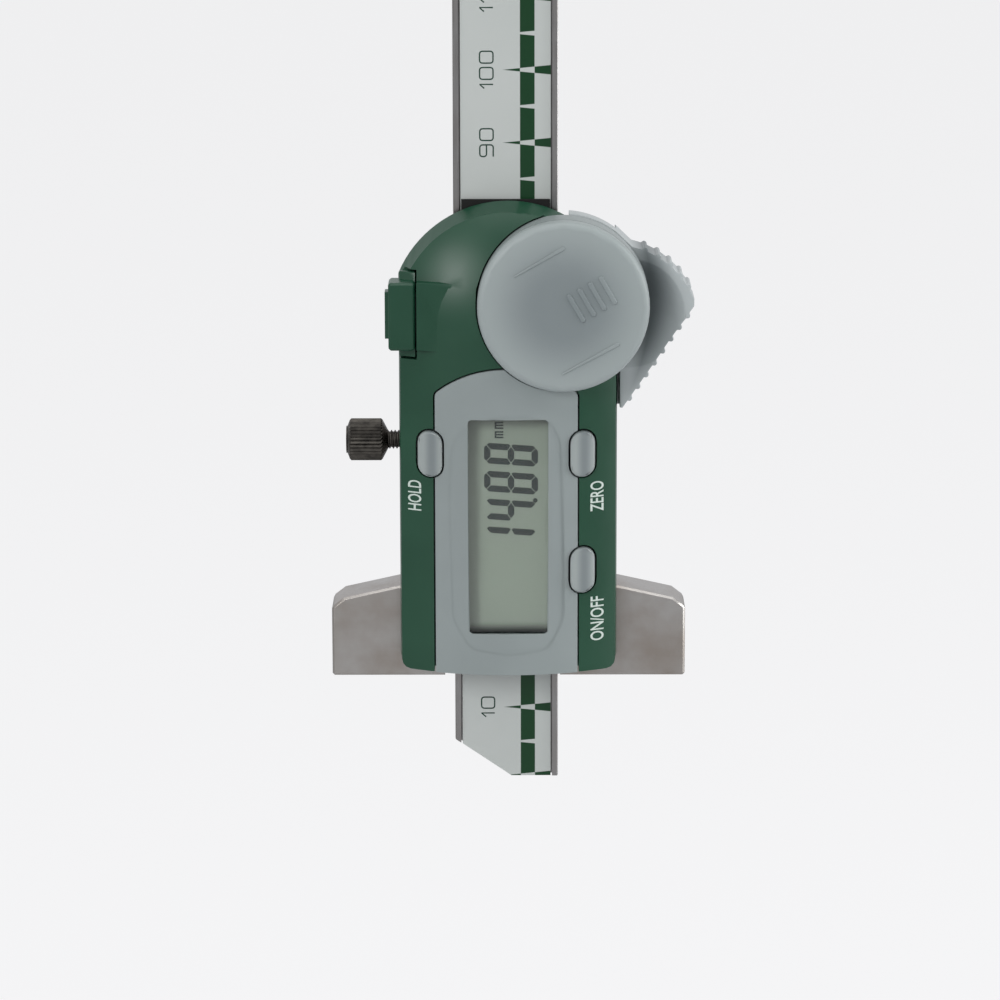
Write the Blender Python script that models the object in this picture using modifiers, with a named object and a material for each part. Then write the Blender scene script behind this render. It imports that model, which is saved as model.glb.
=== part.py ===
"""Digital depth gauge: a steel bridge with an upright, a flat beam that slides through it, and the display
unit on the front. Metres, +Z up, the display faces -Y. The origin is the middle of the measuring face, on
the land behind the beam."""

import math

import bmesh
import bpy
from mathutils import Matrix, Vector

# Clearances
GAP = 0.0003                  # between pieces that rest on or slide along each other
GLUE_GAP = 0.0002             # between the bonded layers of the scale
SEAM_GAP = 0.0002             # moulding seams that show
CUT_REACH = 0.004             # how far a cutter stands out of what it cuts

# Reading
DEPTH_SHOWN = 0.01488         # the tip below the measuring face at rest
DEPTH_RANGE = 0.150           # the longest reading

# Steel bridge and its upright, one piece
BASE_LENGTH = 0.0495
BASE_HEIGHT = 0.0129          # at the foot of the upright
BASE_END_HEIGHT = 0.0112      # where the top's slope ends
BASE_CORNER_HEIGHT = 0.0099   # where the end's bevel starts
BASE_CORNER_WIDTH = 0.0017
SHOULDER_REACH = 0.0016       # from the upright to where the top's slope starts
FRAME_FRONT_Y = -0.0059
FRAME_THICKNESS = 0.0075
UPRIGHT_INSET = 0.0013        # inside the housing's side
FRAME_DOME_INSET = 0.0009     # the upright's round top, inside the housing's half width
FRAME_EDGE_BEVEL = 0.0003
CHANNEL_DEPTH = 0.0045        # from the front; the land behind it guides the beam

# Beam
BEAM_CENTRE_X = -0.0003
BEAM_SET_BACK = 0.0007        # behind the frame's front
BEAM_WIDTH = 0.01444
BEAM_THICKNESS = 0.0035
BEAM_TOP_MARGIN = 0.0035      # above the stop plate
RAIL_WIDTH = 0.00082
RECESS_DEPTH = 0.0016
BEAM_EDGE_BEVEL = 0.00012
TIP_FLAT_WIDTH = 0.00656
TIP_BEVEL_HEIGHT = 0.00538
STRIP_THICKNESS = 0.0006
LABEL_THICKNESS = 0.0003
STOP_PLATE_HEIGHT = 0.0080
STOP_PLATE_WIDTH = 0.0120
STOP_PLATE_THICKNESS = 0.0012
STOP_SCREW_SPACING = 0.0070
STOP_SCREW_RADIUS = 0.0009
STOP_SCREW_DEPTH = 0.0011     # into the beam, short of the recess
STOP_HEAD_RADIUS = 0.0016
STOP_HEAD_HEIGHT = 0.0010

# Gib and lock
GIB_THICKNESS = 0.0008
GIB_HEIGHT = 0.0030
GIB_BOTTOM_Z = 0.0030
GIB_TOP_Z = 0.0610
GIB_SCREW_RADIUS = 0.0010
GIB_SCREW_LENGTH = 0.0042
GIB_SCREW_HEIGHTS = {"lower": 0.0180, "upper": 0.0500}
LOCK_Z = 0.03338
LOCK_RADIUS = 0.0011
LOCK_PAD_LENGTH = 0.0015
LOCK_NECK_REACH = 0.00285     # from the upright to the head's cone
LOCK_CONE_LENGTH = 0.00085
LOCK_HEAD_LENGTH = 0.0046
LOCK_HEAD_RADIUS = 0.00293
LOCK_END_RADIUS = 0.0019
LOCK_END_CHAMFER = 0.0003
LOCK_END_LENGTH = 0.00016
KNURL_COUNT = 32
KNURL_DEPTH = 0.00022

# Housing: outline in the XZ plane, front on a crown
HOUSING_SIDE = 0.00788        # from the beam's side to the housing's
HOUSING_DRAFT = 0.00025       # each side comes in by this towards the front
HOUSING_BOTTOM_Z = 0.0022
HOUSING_CORNER = 0.0012
HOUSING_WALL = 0.0016
DOME_CENTRE_Z = 0.0509
DOME_SWELL = 0.00135          # the dome's radius over the half width, at the back edge
DOME_DRAFT = 0.00115          # the dome comes in by this at the edge of the crowned face
DOME_EDGE_DEPTH = 0.0033      # from the back edge to that edge
CROWN_RADIUS = 0.0270
CROWN_FRONT_Y = -0.0144       # the crown's foremost line
CROWN_CAP_ANGLE = 45          # how far the ball end of the crown is made
CROWN_STEPS = 96
SCREW_HEIGHTS = {"lower": 0.0076, "upper": 0.0395}
SCREW_RADIUS = 0.0008
SCREW_HEAD_RADIUS = 0.0013
SCREW_HEAD_HEIGHT = 0.0012
SCREW_SUNK = 0.0003
SCREW_TIP_Y = -0.0088
BOSS_RADIUS = 0.0015
BOSS_TIP_GAP = 0.0003

# Display
BEZEL_CENTRE_X = -0.00025
BEZEL_MARGIN = 0.00529        # from the housing's side to the bezel's
BEZEL_TOP_Z = 0.0452
BEZEL_TOP_RADIUS = 0.0150
BEZEL_CORNER = 0.0010
BEZEL_PROUD = 0.00015
BEZEL_BACK_Y = -0.0095
BEZEL_FLANGE = 0.0006
BEZEL_FLANGE_BOTTOM_Z = 0.0041
WINDOW_MARGIN = 0.00428       # from the bezel's side to the window's
WINDOW_BOTTOM_Z = 0.00797
WINDOW_TOP_Z = 0.03815
LENS_MARGIN = 0.00067         # the lens is larger than the window by this, all round
LENS_FRONT_Y = -0.0133
LENS_THICKNESS = 0.0012
LCD_MARGIN_X = 0.00167
LCD_MARGIN_Z = 0.0026
LCD_FRONT_Y = -0.0115
LCD_THICKNESS = 0.0018
ZEBRA_WIDTH = 0.0010
ZEBRA_INSET = 0.0002

# Circuit board and what is on it
PCB_THICKNESS = 0.0010
PCB_EDGE_GAP = 0.0012         # inside the housing's inner wall
CHIP_SIZE = (0.0060, 0.0080)
CHIP_CENTRE = (0.0, 0.0200)
CHIP_THICKNESS = 0.0011
CRYSTAL_SIZE = (0.0014, 0.0062)
CRYSTAL_CENTRE = (0.0040, 0.0330)
CRYSTAL_THICKNESS = 0.0012
SWITCH_SIZE = 0.0030
SWITCH_HEIGHT = 0.0005
WIPER_WIDTH = 0.0122
WIPER_THICKNESS = 0.0007
UPPER_WIPER_Z = (0.0600, 0.0674)
LOWER_WIPER_Z = (0.0004, 0.0042)

# Keys
KEY_WIDTH = 0.0034
KEY_HEIGHT = 0.0064
KEY_INSET = 0.0046            # from the housing's side to a key's middle
KEY_UPPER_Z = 0.03312
KEY_LOWER_Z = 0.01675
KEY_PROUD = 0.0006
KEY_TRAVEL = 0.0005
KEY_TRAVEL_SPARE = 0.0001
KEY_FLANGE = 0.0005
KEY_FLANGE_THICKNESS = 0.0004
KEY_GAP = 0.00025

# Battery, its drum and its cap
CAP_INSET = 0.00755           # from the housing's side to the cap's middle
CAP_CENTRE_Z = 0.0540
CAP_RADIUS = 0.01175
CAP_FRONT_Y = -0.0160
CAP_THICKNESS = 0.0022
CAP_EDGE = 0.0009
DRUM_BACK_Y = -0.0090
DRUM_FLOOR = 0.0006
BATTERY_RADIUS = 0.0100
BATTERY_THICKNESS = 0.0032
BATTERY_EDGE = 0.0003
BATTERY_SIDE_GAP = 0.0004
CONTACT_THICKNESS = 0.0002
CONTACT_WIDTH = 0.0020
LEAF_REACH = 0.0050           # the leaf below the cell, each way from the cap's middle

# Data port on the left
PORT_LOW_Z = 0.0475
PORT_HIGH_Z = 0.0569
PORT_INSET = 0.0026           # from the housing's side to the port's seam
PORT_COVER_DEPTH = 0.00385    # from the seam to the cover's face
PORT_LIP_DEPTH = 0.0005       # how far the lip stands out of that face
PORT_LIP_INSET = (0.0014, 0.0015)
PORT_TAB_RISE = 0.0011        # the cover's tabs stand past its block by this
PORT_TAB_DEPTH = 0.0024       # from the seam
PORT_BACK_Y = -0.0076
HUMP_CROWN_REACH = 0.0097     # how far from the crown's foremost point the flat hump runs out
HUMP_LENGTH = 0.0060          # from the seam to where the hump ends inside the crown
PORT_WALL = 0.0012
PLUG_LENGTH = 0.0018
PLUG_INSET = 0.0018
CONNECTOR_DEPTH = 0.0024
PORT_CONTACT_COUNT = 4
PORT_CONTACT_WIDTH = 0.0005
PORT_CONTACT_THICKNESS = 0.0010
PORT_CONTACT_LENGTH = 0.0015
PORT_CONTACT_PITCH = 0.0014

# Thumb grip on the right
GRIP_FRONT_Y = -0.0087
GRIP_BACK_Y = -0.0022
GRIP_TONGUE_BACK_Y = -0.0054
GRIP_TONGUE_ANGLES = (86, 52)
GRIP_TONGUE_STEP = 2          # degrees
GRIP_TONGUE_PROUD = 0.00015
GRIP_ARC_CENTRE = (-0.0008, 0.0494)   # X from the housing's side, as in the next lines
GRIP_ARC_RADIUS = 0.0122
GRIP_ARC_ANGLES = (77, 22)
GRIP_ARC_STEPS = 14
GRIP_APEX = (0.0105, 0.0530)
GRIP_FOOT = (0.0007, 0.0388)
GRIP_RIB_PITCH = 0.0020
GRIP_RIB_RADIUS = 0.00042
GRIP_SCOOP_RADIUS = 0.0140
GRIP_SCOOP_DEPTH = 0.0022
GRIP_SCOOP_CENTRE = (0.0017, 0.0520)

# Worked out from the above
HOUSING_WIDTH = BEAM_WIDTH + 2 * HOUSING_SIDE
HOUSING_FRONT_WIDTH = HOUSING_WIDTH - 2 * HOUSING_DRAFT
HOUSING_SIDE_X = HOUSING_WIDTH / 2
DOME_RADIUS = HOUSING_SIDE_X + DOME_SWELL
DOME_FRONT_RADIUS = DOME_RADIUS - DOME_DRAFT
UPRIGHT_WIDTH = HOUSING_WIDTH - 2 * UPRIGHT_INSET
FRAME_DOME_RADIUS = HOUSING_SIDE_X - FRAME_DOME_INSET
LOCK_NECK_X = -UPRIGHT_WIDTH / 2 - LOCK_NECK_REACH
LOCK_CONE_X = LOCK_NECK_X - LOCK_CONE_LENGTH
BEZEL_WIDTH = HOUSING_WIDTH - 2 * BEZEL_MARGIN
WINDOW_WIDTH = BEZEL_WIDTH - 2 * WINDOW_MARGIN
KEY_SPREAD = HOUSING_SIDE_X - KEY_INSET
CAP_CENTRE_X = HOUSING_SIDE_X - CAP_INSET
PORT_SEAM_X = PORT_INSET - HOUSING_SIDE_X
PORT_FACE_X = PORT_SEAM_X - PORT_COVER_DEPTH
PORT_LIP_X = PORT_FACE_X - PORT_LIP_DEPTH
PORT_TAB_X = PORT_SEAM_X - PORT_TAB_DEPTH
HUMP_END_X = PORT_SEAM_X + HUMP_LENGTH
FRAME_BACK_Y = FRAME_FRONT_Y + FRAME_THICKNESS
CHANNEL_BACK_Y = FRAME_FRONT_Y + CHANNEL_DEPTH
FRAME_TOP_Z = DOME_CENTRE_Z + FRAME_DOME_RADIUS
SCREW_SEAT_Y = FRAME_BACK_Y - SCREW_SUNK - SCREW_HEAD_HEIGHT - GAP
BEAM_FRONT_Y = FRAME_FRONT_Y + BEAM_SET_BACK
BEAM_BACK_Y = BEAM_FRONT_Y + BEAM_THICKNESS
BEAM_MIDDLE_Y = (BEAM_FRONT_Y + BEAM_BACK_Y) / 2
BEAM_LEFT_X = BEAM_CENTRE_X - BEAM_WIDTH / 2
BEAM_RIGHT_X = BEAM_CENTRE_X + BEAM_WIDTH / 2
TIP_Z = -DEPTH_SHOWN
STOP_PLATE_Z = FRAME_TOP_Z + GAP + DEPTH_RANGE - DEPTH_SHOWN
BEAM_TOP_Z = STOP_PLATE_Z + STOP_PLATE_HEIGHT + BEAM_TOP_MARGIN
GIB_RIGHT_X = BEAM_LEFT_X - GAP
GIB_LEFT_X = GIB_RIGHT_X - GIB_THICKNESS
CHANNEL_LEFT_X = GIB_LEFT_X - GAP
CHANNEL_RIGHT_X = BEAM_RIGHT_X + GAP
SCREW_X = (UPRIGHT_WIDTH / 2 - CHANNEL_LEFT_X) / 2   # the housing's screws, left and right
CROWN_AXIS_Y = CROWN_FRONT_Y + CROWN_RADIUS
HOUSING_BACK_Y = FRAME_FRONT_Y - GAP
FAR_FRONT_Y = CAP_FRONT_Y - CUT_REACH
PCB_BACK_Y = HOUSING_BACK_Y
PCB_FRONT_Y = PCB_BACK_Y - PCB_THICKNESS
SWITCH_BACK_Y = PCB_FRONT_Y - GAP
SWITCH_FRONT_Y = SWITCH_BACK_Y - SWITCH_HEIGHT
KEY_BACK_Y = SWITCH_FRONT_Y - KEY_TRAVEL - KEY_TRAVEL_SPARE
CAP_BACK_Y = CAP_FRONT_Y + CAP_THICKNESS
DRUM_FRONT_Y = CAP_BACK_Y + GAP
DRUM_BORE_RADIUS = BATTERY_RADIUS + BATTERY_SIDE_GAP
PORT_PLANE_Y = CROWN_AXIS_Y - math.sqrt(CROWN_RADIUS ** 2 - HUMP_CROWN_REACH ** 2)
SIDES = {"left": -1, "right": 1}
KEYS = {
    "hold": (BEZEL_CENTRE_X - KEY_SPREAD, KEY_UPPER_Z),
    "zero": (BEZEL_CENTRE_X + KEY_SPREAD, KEY_UPPER_Z),
    "power": (BEZEL_CENTRE_X + KEY_SPREAD, KEY_LOWER_Z),
}
HOUSING_SCREWS = {
    f"{side}_{level}": (sign * SCREW_X, height)
    for side, sign in SIDES.items() for level, height in SCREW_HEIGHTS.items()
}

# Start from an empty scene
for old in list(bpy.data.objects):
    bpy.data.objects.remove(old, do_unlink=True)

parts = bpy.data.collections.new("depth_gauge")
cutters = bpy.data.collections.new("cutters")
bpy.context.scene.collection.children.link(parts)
bpy.context.scene.collection.children.link(cutters)


def material(name, colour, roughness, metallic=0.0):
    """A plain Principled material."""
    made = bpy.data.materials.new(name)
    made.use_nodes = True
    shader = made.node_tree.nodes["Principled BSDF"]
    shader.inputs["Base Color"].default_value = (*colour, 1.0)
    shader.inputs["Roughness"].default_value = roughness
    shader.inputs["Metallic"].default_value = metallic
    return made


GROUND_STEEL = material("ground_steel", (0.36, 0.35, 0.33), 0.35, 1.0)
SPRING_STEEL = material("spring_steel", (0.40, 0.39, 0.37), 0.30, 1.0)
BLACK_OXIDE = material("black_oxide_steel", (0.04, 0.04, 0.035), 0.40, 1.0)
SCREW_STEEL = material("screw_steel", (0.45, 0.45, 0.45), 0.35, 1.0)
BRASS = material("brass", (0.60, 0.42, 0.16), 0.35, 1.0)
GREEN_ABS = material("green_abs", (0.025, 0.089, 0.055), 0.45)
GREY_ABS = material("grey_abs", (0.27, 0.33, 0.34), 0.50)
CLEAR_LENS = material("clear_lens", (0.60, 0.66, 0.60), 0.10)
LCD_GLASS = material("lcd_glass", (0.27, 0.33, 0.26), 0.20)
LABEL_FILM = material("label_film", (0.54, 0.58, 0.56), 0.40)
BOARD = material("circuit_board", (0.02, 0.12, 0.05), 0.50)
EPOXY = material("black_epoxy", (0.01, 0.01, 0.01), 0.50)
RUBBER = material("black_rubber", (0.01, 0.01, 0.01), 0.80)
CELL_STEEL = material("cell_steel", (0.60, 0.60, 0.58), 0.25, 1.0)
GOLD_PLATE = material("gold_plate", (0.80, 0.60, 0.25), 0.25, 1.0)


def add_object(name, mesh, finish=None):
    """Link a mesh: a part where it has a finish, and otherwise a cutter."""
    obj = bpy.data.objects.new(name, mesh)
    if finish is None:
        cutters.objects.link(obj)
        obj.hide_render = True
        obj.display_type = "WIRE"
    else:
        parts.objects.link(obj)
        mesh.materials.clear()
        mesh.materials.append(finish)
    return obj


def add_bmesh(name, work, finish=None):
    bmesh.ops.recalc_face_normals(work, faces=work.faces)
    mesh = bpy.data.meshes.new(name)
    work.to_mesh(mesh)
    work.free()
    return add_object(name, mesh, finish)


def set_origin(obj, point):
    """Move a piece's origin to a point of its joint's axis, its shape staying where it is."""
    obj.data.transform(Matrix.Translation(-Vector(point)))
    obj.location = point
    return obj


def smooth(obj, angle=35):
    """Shade a round piece smooth, with its edges kept sharp."""
    obj.data.shade_smooth()
    obj.data.set_sharp_from_angle(angle=math.radians(angle))
    return obj


def box(name, low, high, finish=None):
    work = bmesh.new()
    bmesh.ops.create_cube(work, size=1.0)
    size = Vector(high) - Vector(low)
    middle = (Vector(high) + Vector(low)) / 2
    bmesh.ops.scale(work, vec=size, verts=work.verts)
    bmesh.ops.translate(work, vec=middle, verts=work.verts)
    return add_bmesh(name, work, finish)


def rod(name, start, end, radius, finish=None, segments=24):
    """A cylinder from one point to another."""
    along = Vector(end) - Vector(start)
    turn = Vector((0, 0, 1)).rotation_difference(along).to_matrix().to_4x4()
    place = Matrix.Translation((Vector(start) + Vector(end)) / 2) @ turn
    work = bmesh.new()
    bmesh.ops.create_cone(work, cap_ends=True, segments=segments, radius1=radius, radius2=radius,
                          depth=along.length, matrix=place)
    return add_bmesh(name, work, finish)


def arc(centre, radius, start, end, steps):
    """Points along an arc in the XZ plane, from a start angle to an end angle in degrees."""
    points = []
    for step in range(steps + 1):
        angle = math.radians(start + (end - start) * step / steps)
        points.append((centre[0] + radius * math.cos(angle), centre[1] + radius * math.sin(angle)))
    return points


def circle(centre, radius, segments=72):
    return arc(centre, radius, 0, 360 - 360 / segments, segments - 1)


def plate(name, outline, y_front, y_back, finish=None):
    """An outline in the XZ plane, given its thickness along Y: a filled 2D curve, then made a mesh."""
    curve = bpy.data.curves.new(name, "CURVE")
    curve.dimensions = "2D"
    curve.fill_mode = "BOTH"
    curve.extrude = (y_back - y_front) / 2
    spline = curve.splines.new("POLY")
    spline.points.add(len(outline) - 1)
    for point, (x, z) in zip(spline.points, outline):
        point.co = (x, z, 0.0, 1.0)
    spline.use_cyclic_u = True
    guide = bpy.data.objects.new(name + "_outline", curve)
    cutters.objects.link(guide)
    upright = Matrix.Rotation(math.pi / 2, 4, "X")
    guide.matrix_world = Matrix.Translation((0, (y_front + y_back) / 2, 0)) @ upright
    bpy.context.view_layer.update()
    mesh = bpy.data.meshes.new_from_object(guide.evaluated_get(bpy.context.evaluated_depsgraph_get()))
    mesh.transform(guide.matrix_world)
    work = bmesh.new()
    work.from_mesh(mesh)
    bmesh.ops.remove_doubles(work, verts=work.verts, dist=1e-6)
    bmesh.ops.dissolve_limit(work, angle_limit=math.radians(0.1), verts=work.verts, edges=work.edges)
    bpy.data.objects.remove(guide, do_unlink=True)
    bpy.data.meshes.remove(mesh)
    return add_bmesh(name, work, finish)


def loft(name, along, sections, finish=None):
    """A solid through outlines of equal point counts, each at its place along the X or Y axis."""
    work = bmesh.new()
    rings = []
    for place, outline in sections:
        if along == "X":
            ring = [work.verts.new((place, y, z)) for y, z in outline]
        else:
            ring = [work.verts.new((x, place, z)) for x, z in outline]
        rings.append(ring)
    work.faces.new(rings[0])
    work.faces.new(rings[-1])
    count = len(rings[0])
    for near, far in zip(rings, rings[1:]):
        for index in range(count):
            following = (index + 1) % count
            work.faces.new((near[index], near[following], far[following], far[index]))
    return add_bmesh(name, work, finish)


def combine(target, tool, operation="DIFFERENCE"):
    """A Boolean that stays on the target, with its tool among the cutters."""
    modifier = target.modifiers.new(f"{operation.lower()}_{tool.name}", "BOOLEAN")
    modifier.object = tool
    modifier.operation = operation
    modifier.solver = "EXACT"
    return target


def bevel(target, width, segments=1, angle=40):
    modifier = target.modifiers.new("edges", "BEVEL")
    modifier.width = width
    modifier.segments = segments
    modifier.limit_method = "ANGLE"
    modifier.angle_limit = math.radians(angle)
    return target


def rectangle(width, low, high, centre_x=0.0):
    half = width / 2
    return [(centre_x - half, low), (centre_x + half, low), (centre_x + half, high), (centre_x - half, high)]


def stadium(centre, grow=0.0, steps=10):
    """A key's outline, grown all round."""
    radius = KEY_WIDTH / 2 + grow
    straight = (KEY_HEIGHT - KEY_WIDTH) / 2
    upper = arc((centre[0], centre[1] + straight), radius, 0, 180, steps)
    lower = arc((centre[0], centre[1] - straight), radius, 180, 360, steps)
    return upper + lower


def tombstone(half, radius, bottom, corner, corner_steps=3, dome_steps=36):
    """Straight sides on rounded lower corners, with an arc on top whose centre is the dome's."""
    side = min(half, radius)
    start = math.degrees(math.acos(side / radius))
    left = arc((-side + corner, bottom + corner), corner, 180, 270, corner_steps)
    right = arc((side - corner, bottom + corner), corner, 270, 360, corner_steps)
    return left + right + arc((0.0, DOME_CENTRE_Z), radius, start, 180 - start, dome_steps)


def crown(name, radius):
    """The solid behind the crowned front: a vertical cylinder with a ball end, turned from its profile."""
    rings = 12
    high = math.radians(CROWN_CAP_ANGLE)
    profile = [(0.0, DOME_CENTRE_Z + radius * math.sin(high))]
    for step in range(rings + 1):
        angle = high * (1 - step / rings)
        profile.append((radius * math.cos(angle), DOME_CENTRE_Z + radius * math.sin(angle)))
    profile.append((radius, -CUT_REACH))
    profile.append((0.0, -CUT_REACH))
    mesh = bpy.data.meshes.new(name)
    edges = [(index, index + 1) for index in range(len(profile) - 1)]
    mesh.from_pydata([(x, 0.0, z) for x, z in profile], edges, [])
    obj = add_object(name, mesh)
    obj.location = (0.0, CROWN_AXIS_Y, 0.0)
    obj.rotation_euler.z = math.pi / CROWN_STEPS  # half a step, so that a facet and not an edge faces -Y
    turn = obj.modifiers.new("turn", "SCREW")
    turn.steps = CROWN_STEPS
    turn.render_steps = CROWN_STEPS
    turn.use_merge_vertices = True
    turn.merge_threshold = 1e-6
    return obj


def from_cap_centre(distance, angle):
    """A point in the XZ plane, at a distance and an angle in degrees from the cap's centre."""
    turn = math.radians(angle)
    return (CAP_CENTRE_X + distance * math.cos(turn), CAP_CENTRE_Z + distance * math.sin(turn))


def make_frame():
    half = BASE_LENGTH / 2
    upright = UPRIGHT_WIDTH / 2
    start = math.degrees(math.acos(upright / FRAME_DOME_RADIUS))
    right = [(half, 0.0), (half, BASE_CORNER_HEIGHT), (half - BASE_CORNER_WIDTH, BASE_END_HEIGHT),
             (upright + SHOULDER_REACH, BASE_HEIGHT), (upright, BASE_HEIGHT)]
    dome = arc((0.0, DOME_CENTRE_Z), FRAME_DOME_RADIUS, start, 180 - start, 28)
    left = [(-x, z) for x, z in reversed(right)]
    frame = plate("slider_frame", right + dome + left, FRAME_FRONT_Y, FRAME_BACK_Y, GROUND_STEEL)
    bevel(frame, FRAME_EDGE_BEVEL)
    channel = box("cut_channel", (CHANNEL_LEFT_X, FRAME_FRONT_Y - CUT_REACH, -CUT_REACH),
                  (CHANNEL_RIGHT_X, CHANNEL_BACK_Y, FRAME_TOP_Z + CUT_REACH))
    combine(frame, channel)
    outside = -upright - CUT_REACH
    inside = CHANNEL_LEFT_X + CUT_REACH / 2
    for level, height in GIB_SCREW_HEIGHTS.items():
        hole = rod(f"cut_gib_screw_{level}", (outside, BEAM_MIDDLE_Y, height),
                   (inside, BEAM_MIDDLE_Y, height), GIB_SCREW_RADIUS + GAP, segments=16)
        combine(frame, hole)
    lock_hole = rod("cut_lock", (outside, BEAM_MIDDLE_Y, LOCK_Z), (inside, BEAM_MIDDLE_Y, LOCK_Z),
                    LOCK_RADIUS + GAP, segments=16)
    combine(frame, lock_hole)
    for name, (x, z) in HOUSING_SCREWS.items():
        behind = (x, FRAME_BACK_Y + CUT_REACH, z)
        ahead = (x, FRAME_FRONT_Y - CUT_REACH, z)
        hole = rod(f"cut_screw_{name}", ahead, behind, SCREW_RADIUS + GAP, segments=16)
        sink = rod(f"cut_head_{name}", (x, SCREW_SEAT_Y, z), behind, SCREW_HEAD_RADIUS + GAP, segments=20)
        combine(frame, hole)
        combine(frame, sink)


def beam_outline(left, right):
    """The beam's outline between two sides, with the tip's bevel where it passes them."""
    bevel_right = BEAM_RIGHT_X - TIP_FLAT_WIDTH
    slope = TIP_BEVEL_HEIGHT / (bevel_right - BEAM_LEFT_X)
    left_low = TIP_Z + (bevel_right - left) * slope
    return [(left, left_low), (bevel_right, TIP_Z), (right, TIP_Z), (right, BEAM_TOP_Z), (left, BEAM_TOP_Z)]


def make_beam():
    tip = (BEAM_CENTRE_X, BEAM_MIDDLE_Y, TIP_Z)
    recess_half = BEAM_WIDTH / 2 - RAIL_WIDTH
    floor_y = BEAM_FRONT_Y + RECESS_DEPTH
    whole = beam_outline(BEAM_LEFT_X, BEAM_RIGHT_X)
    beam = plate("main_beam", whole, BEAM_FRONT_Y, BEAM_BACK_Y, GROUND_STEEL)
    bevel(beam, BEAM_EDGE_BEVEL)
    recess = box("cut_recess", (BEAM_CENTRE_X - recess_half, BEAM_FRONT_Y - CUT_REACH, TIP_Z - CUT_REACH),
                 (BEAM_CENTRE_X + recess_half, floor_y, BEAM_TOP_Z + CUT_REACH))
    plate_middle_z = STOP_PLATE_Z + STOP_PLATE_HEIGHT / 2
    plate_front_y = BEAM_BACK_Y + GAP
    plate_back_y = plate_front_y + STOP_PLATE_THICKNESS
    stop_top_z = STOP_PLATE_Z + STOP_PLATE_HEIGHT
    stop_outline = rectangle(STOP_PLATE_WIDTH, STOP_PLATE_Z, stop_top_z, BEAM_CENTRE_X)
    stop = plate("beam_stop_plate", stop_outline, plate_front_y, plate_back_y, GROUND_STEEL)
    for side, sign in SIDES.items():
        x = BEAM_CENTRE_X + sign * STOP_SCREW_SPACING / 2
        hole = rod(f"cut_stop_{side}", (x, BEAM_BACK_Y - STOP_SCREW_DEPTH - GAP, plate_middle_z),
                   (x, plate_back_y + CUT_REACH, plate_middle_z), STOP_SCREW_RADIUS + GAP, segments=16)
        combine(beam, hole)
        combine(stop, hole)
        screw = headed_screw(f"stop_screw_{side}", (x, plate_middle_z), BEAM_BACK_Y - STOP_SCREW_DEPTH,
                             plate_back_y + GAP, STOP_SCREW_RADIUS, STOP_HEAD_RADIUS, STOP_HEAD_HEIGHT)
        set_origin(screw, tip)
    combine(beam, recess)
    strip_back = floor_y - GLUE_GAP
    strip_front = strip_back - STRIP_THICKNESS
    label_back = strip_front - GLUE_GAP
    label_half = recess_half - GLUE_GAP
    inlay = beam_outline(BEAM_CENTRE_X - label_half, BEAM_CENTRE_X + label_half)
    strip = plate("scale_strip", inlay, strip_front, strip_back, BOARD)
    label = plate("scale_label", inlay, label_back - LABEL_THICKNESS, label_back, LABEL_FILM)
    for piece in (beam, stop, strip, label):
        set_origin(piece, tip)


def headed_screw(name, place, tip_y, head_y, radius, head_radius, head_height):
    """A cylinder-head screw along Y whose head faces the back, made as one turned outline."""
    profile = [(tip_y, radius), (head_y, radius), (head_y, head_radius), (head_y + head_height, head_radius)]
    sections = [(y, circle(place, size, 20)) for y, size in profile]
    return smooth(loft(name, "Y", sections, SCREW_STEEL))


def make_gib_and_lock():
    gib = box("gib_strip", (GIB_LEFT_X, BEAM_MIDDLE_Y - GIB_HEIGHT / 2, GIB_BOTTOM_Z),
              (GIB_RIGHT_X, BEAM_MIDDLE_Y + GIB_HEIGHT / 2, GIB_TOP_Z), SPRING_STEEL)
    bevel(gib, GIB_THICKNESS / 5)
    end = GIB_LEFT_X - GAP
    for level, height in GIB_SCREW_HEIGHTS.items():
        tip = (end, BEAM_MIDDLE_Y, height)
        outer = (end - GIB_SCREW_LENGTH, BEAM_MIDDLE_Y, height)
        smooth(rod(f"gib_screw_{level}", outer, tip, GIB_SCREW_RADIUS, SCREW_STEEL, 16))
    pad_tip = (end, BEAM_MIDDLE_Y, LOCK_Z)
    pad_start = (end - LOCK_PAD_LENGTH, BEAM_MIDDLE_Y, LOCK_Z)
    set_origin(smooth(rod("lock_pad", pad_start, pad_tip, LOCK_RADIUS, BRASS, 16)), pad_tip)
    make_lock_screw(pad_start[0] - GAP)


def make_lock_screw(tip_x):
    """The thumb screw: rings of points along X, with every other point of the head lowered for the knurl."""
    count = 2 * KNURL_COUNT
    head_end = LOCK_CONE_X - LOCK_HEAD_LENGTH
    chamfer_x = head_end - LOCK_END_CHAMFER

    def ring(radius, depth=0.0):
        points = []
        for index in range(count):
            angle = 2 * math.pi * index / count
            reach = radius - (depth if index % 2 else 0.0)
            points.append((BEAM_MIDDLE_Y + reach * math.cos(angle), LOCK_Z + reach * math.sin(angle)))
        return points

    crest = LOCK_HEAD_RADIUS
    shallow = crest - KNURL_DEPTH
    sections = [
        (tip_x, ring(LOCK_RADIUS)),
        (LOCK_NECK_X, ring(LOCK_RADIUS)),
        (LOCK_CONE_X, ring(shallow)),
        (LOCK_CONE_X - KNURL_DEPTH, ring(crest, KNURL_DEPTH)),
        (head_end + KNURL_DEPTH, ring(crest, KNURL_DEPTH)),
        (head_end, ring(shallow)),
        (chamfer_x, ring(LOCK_END_RADIUS)),
        (chamfer_x - LOCK_END_LENGTH, ring(LOCK_END_RADIUS)),
    ]
    screw = loft("lock_screw", "X", sections, BLACK_OXIDE)
    set_origin(screw, (tip_x, BEAM_MIDDLE_Y, LOCK_Z))


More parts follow.
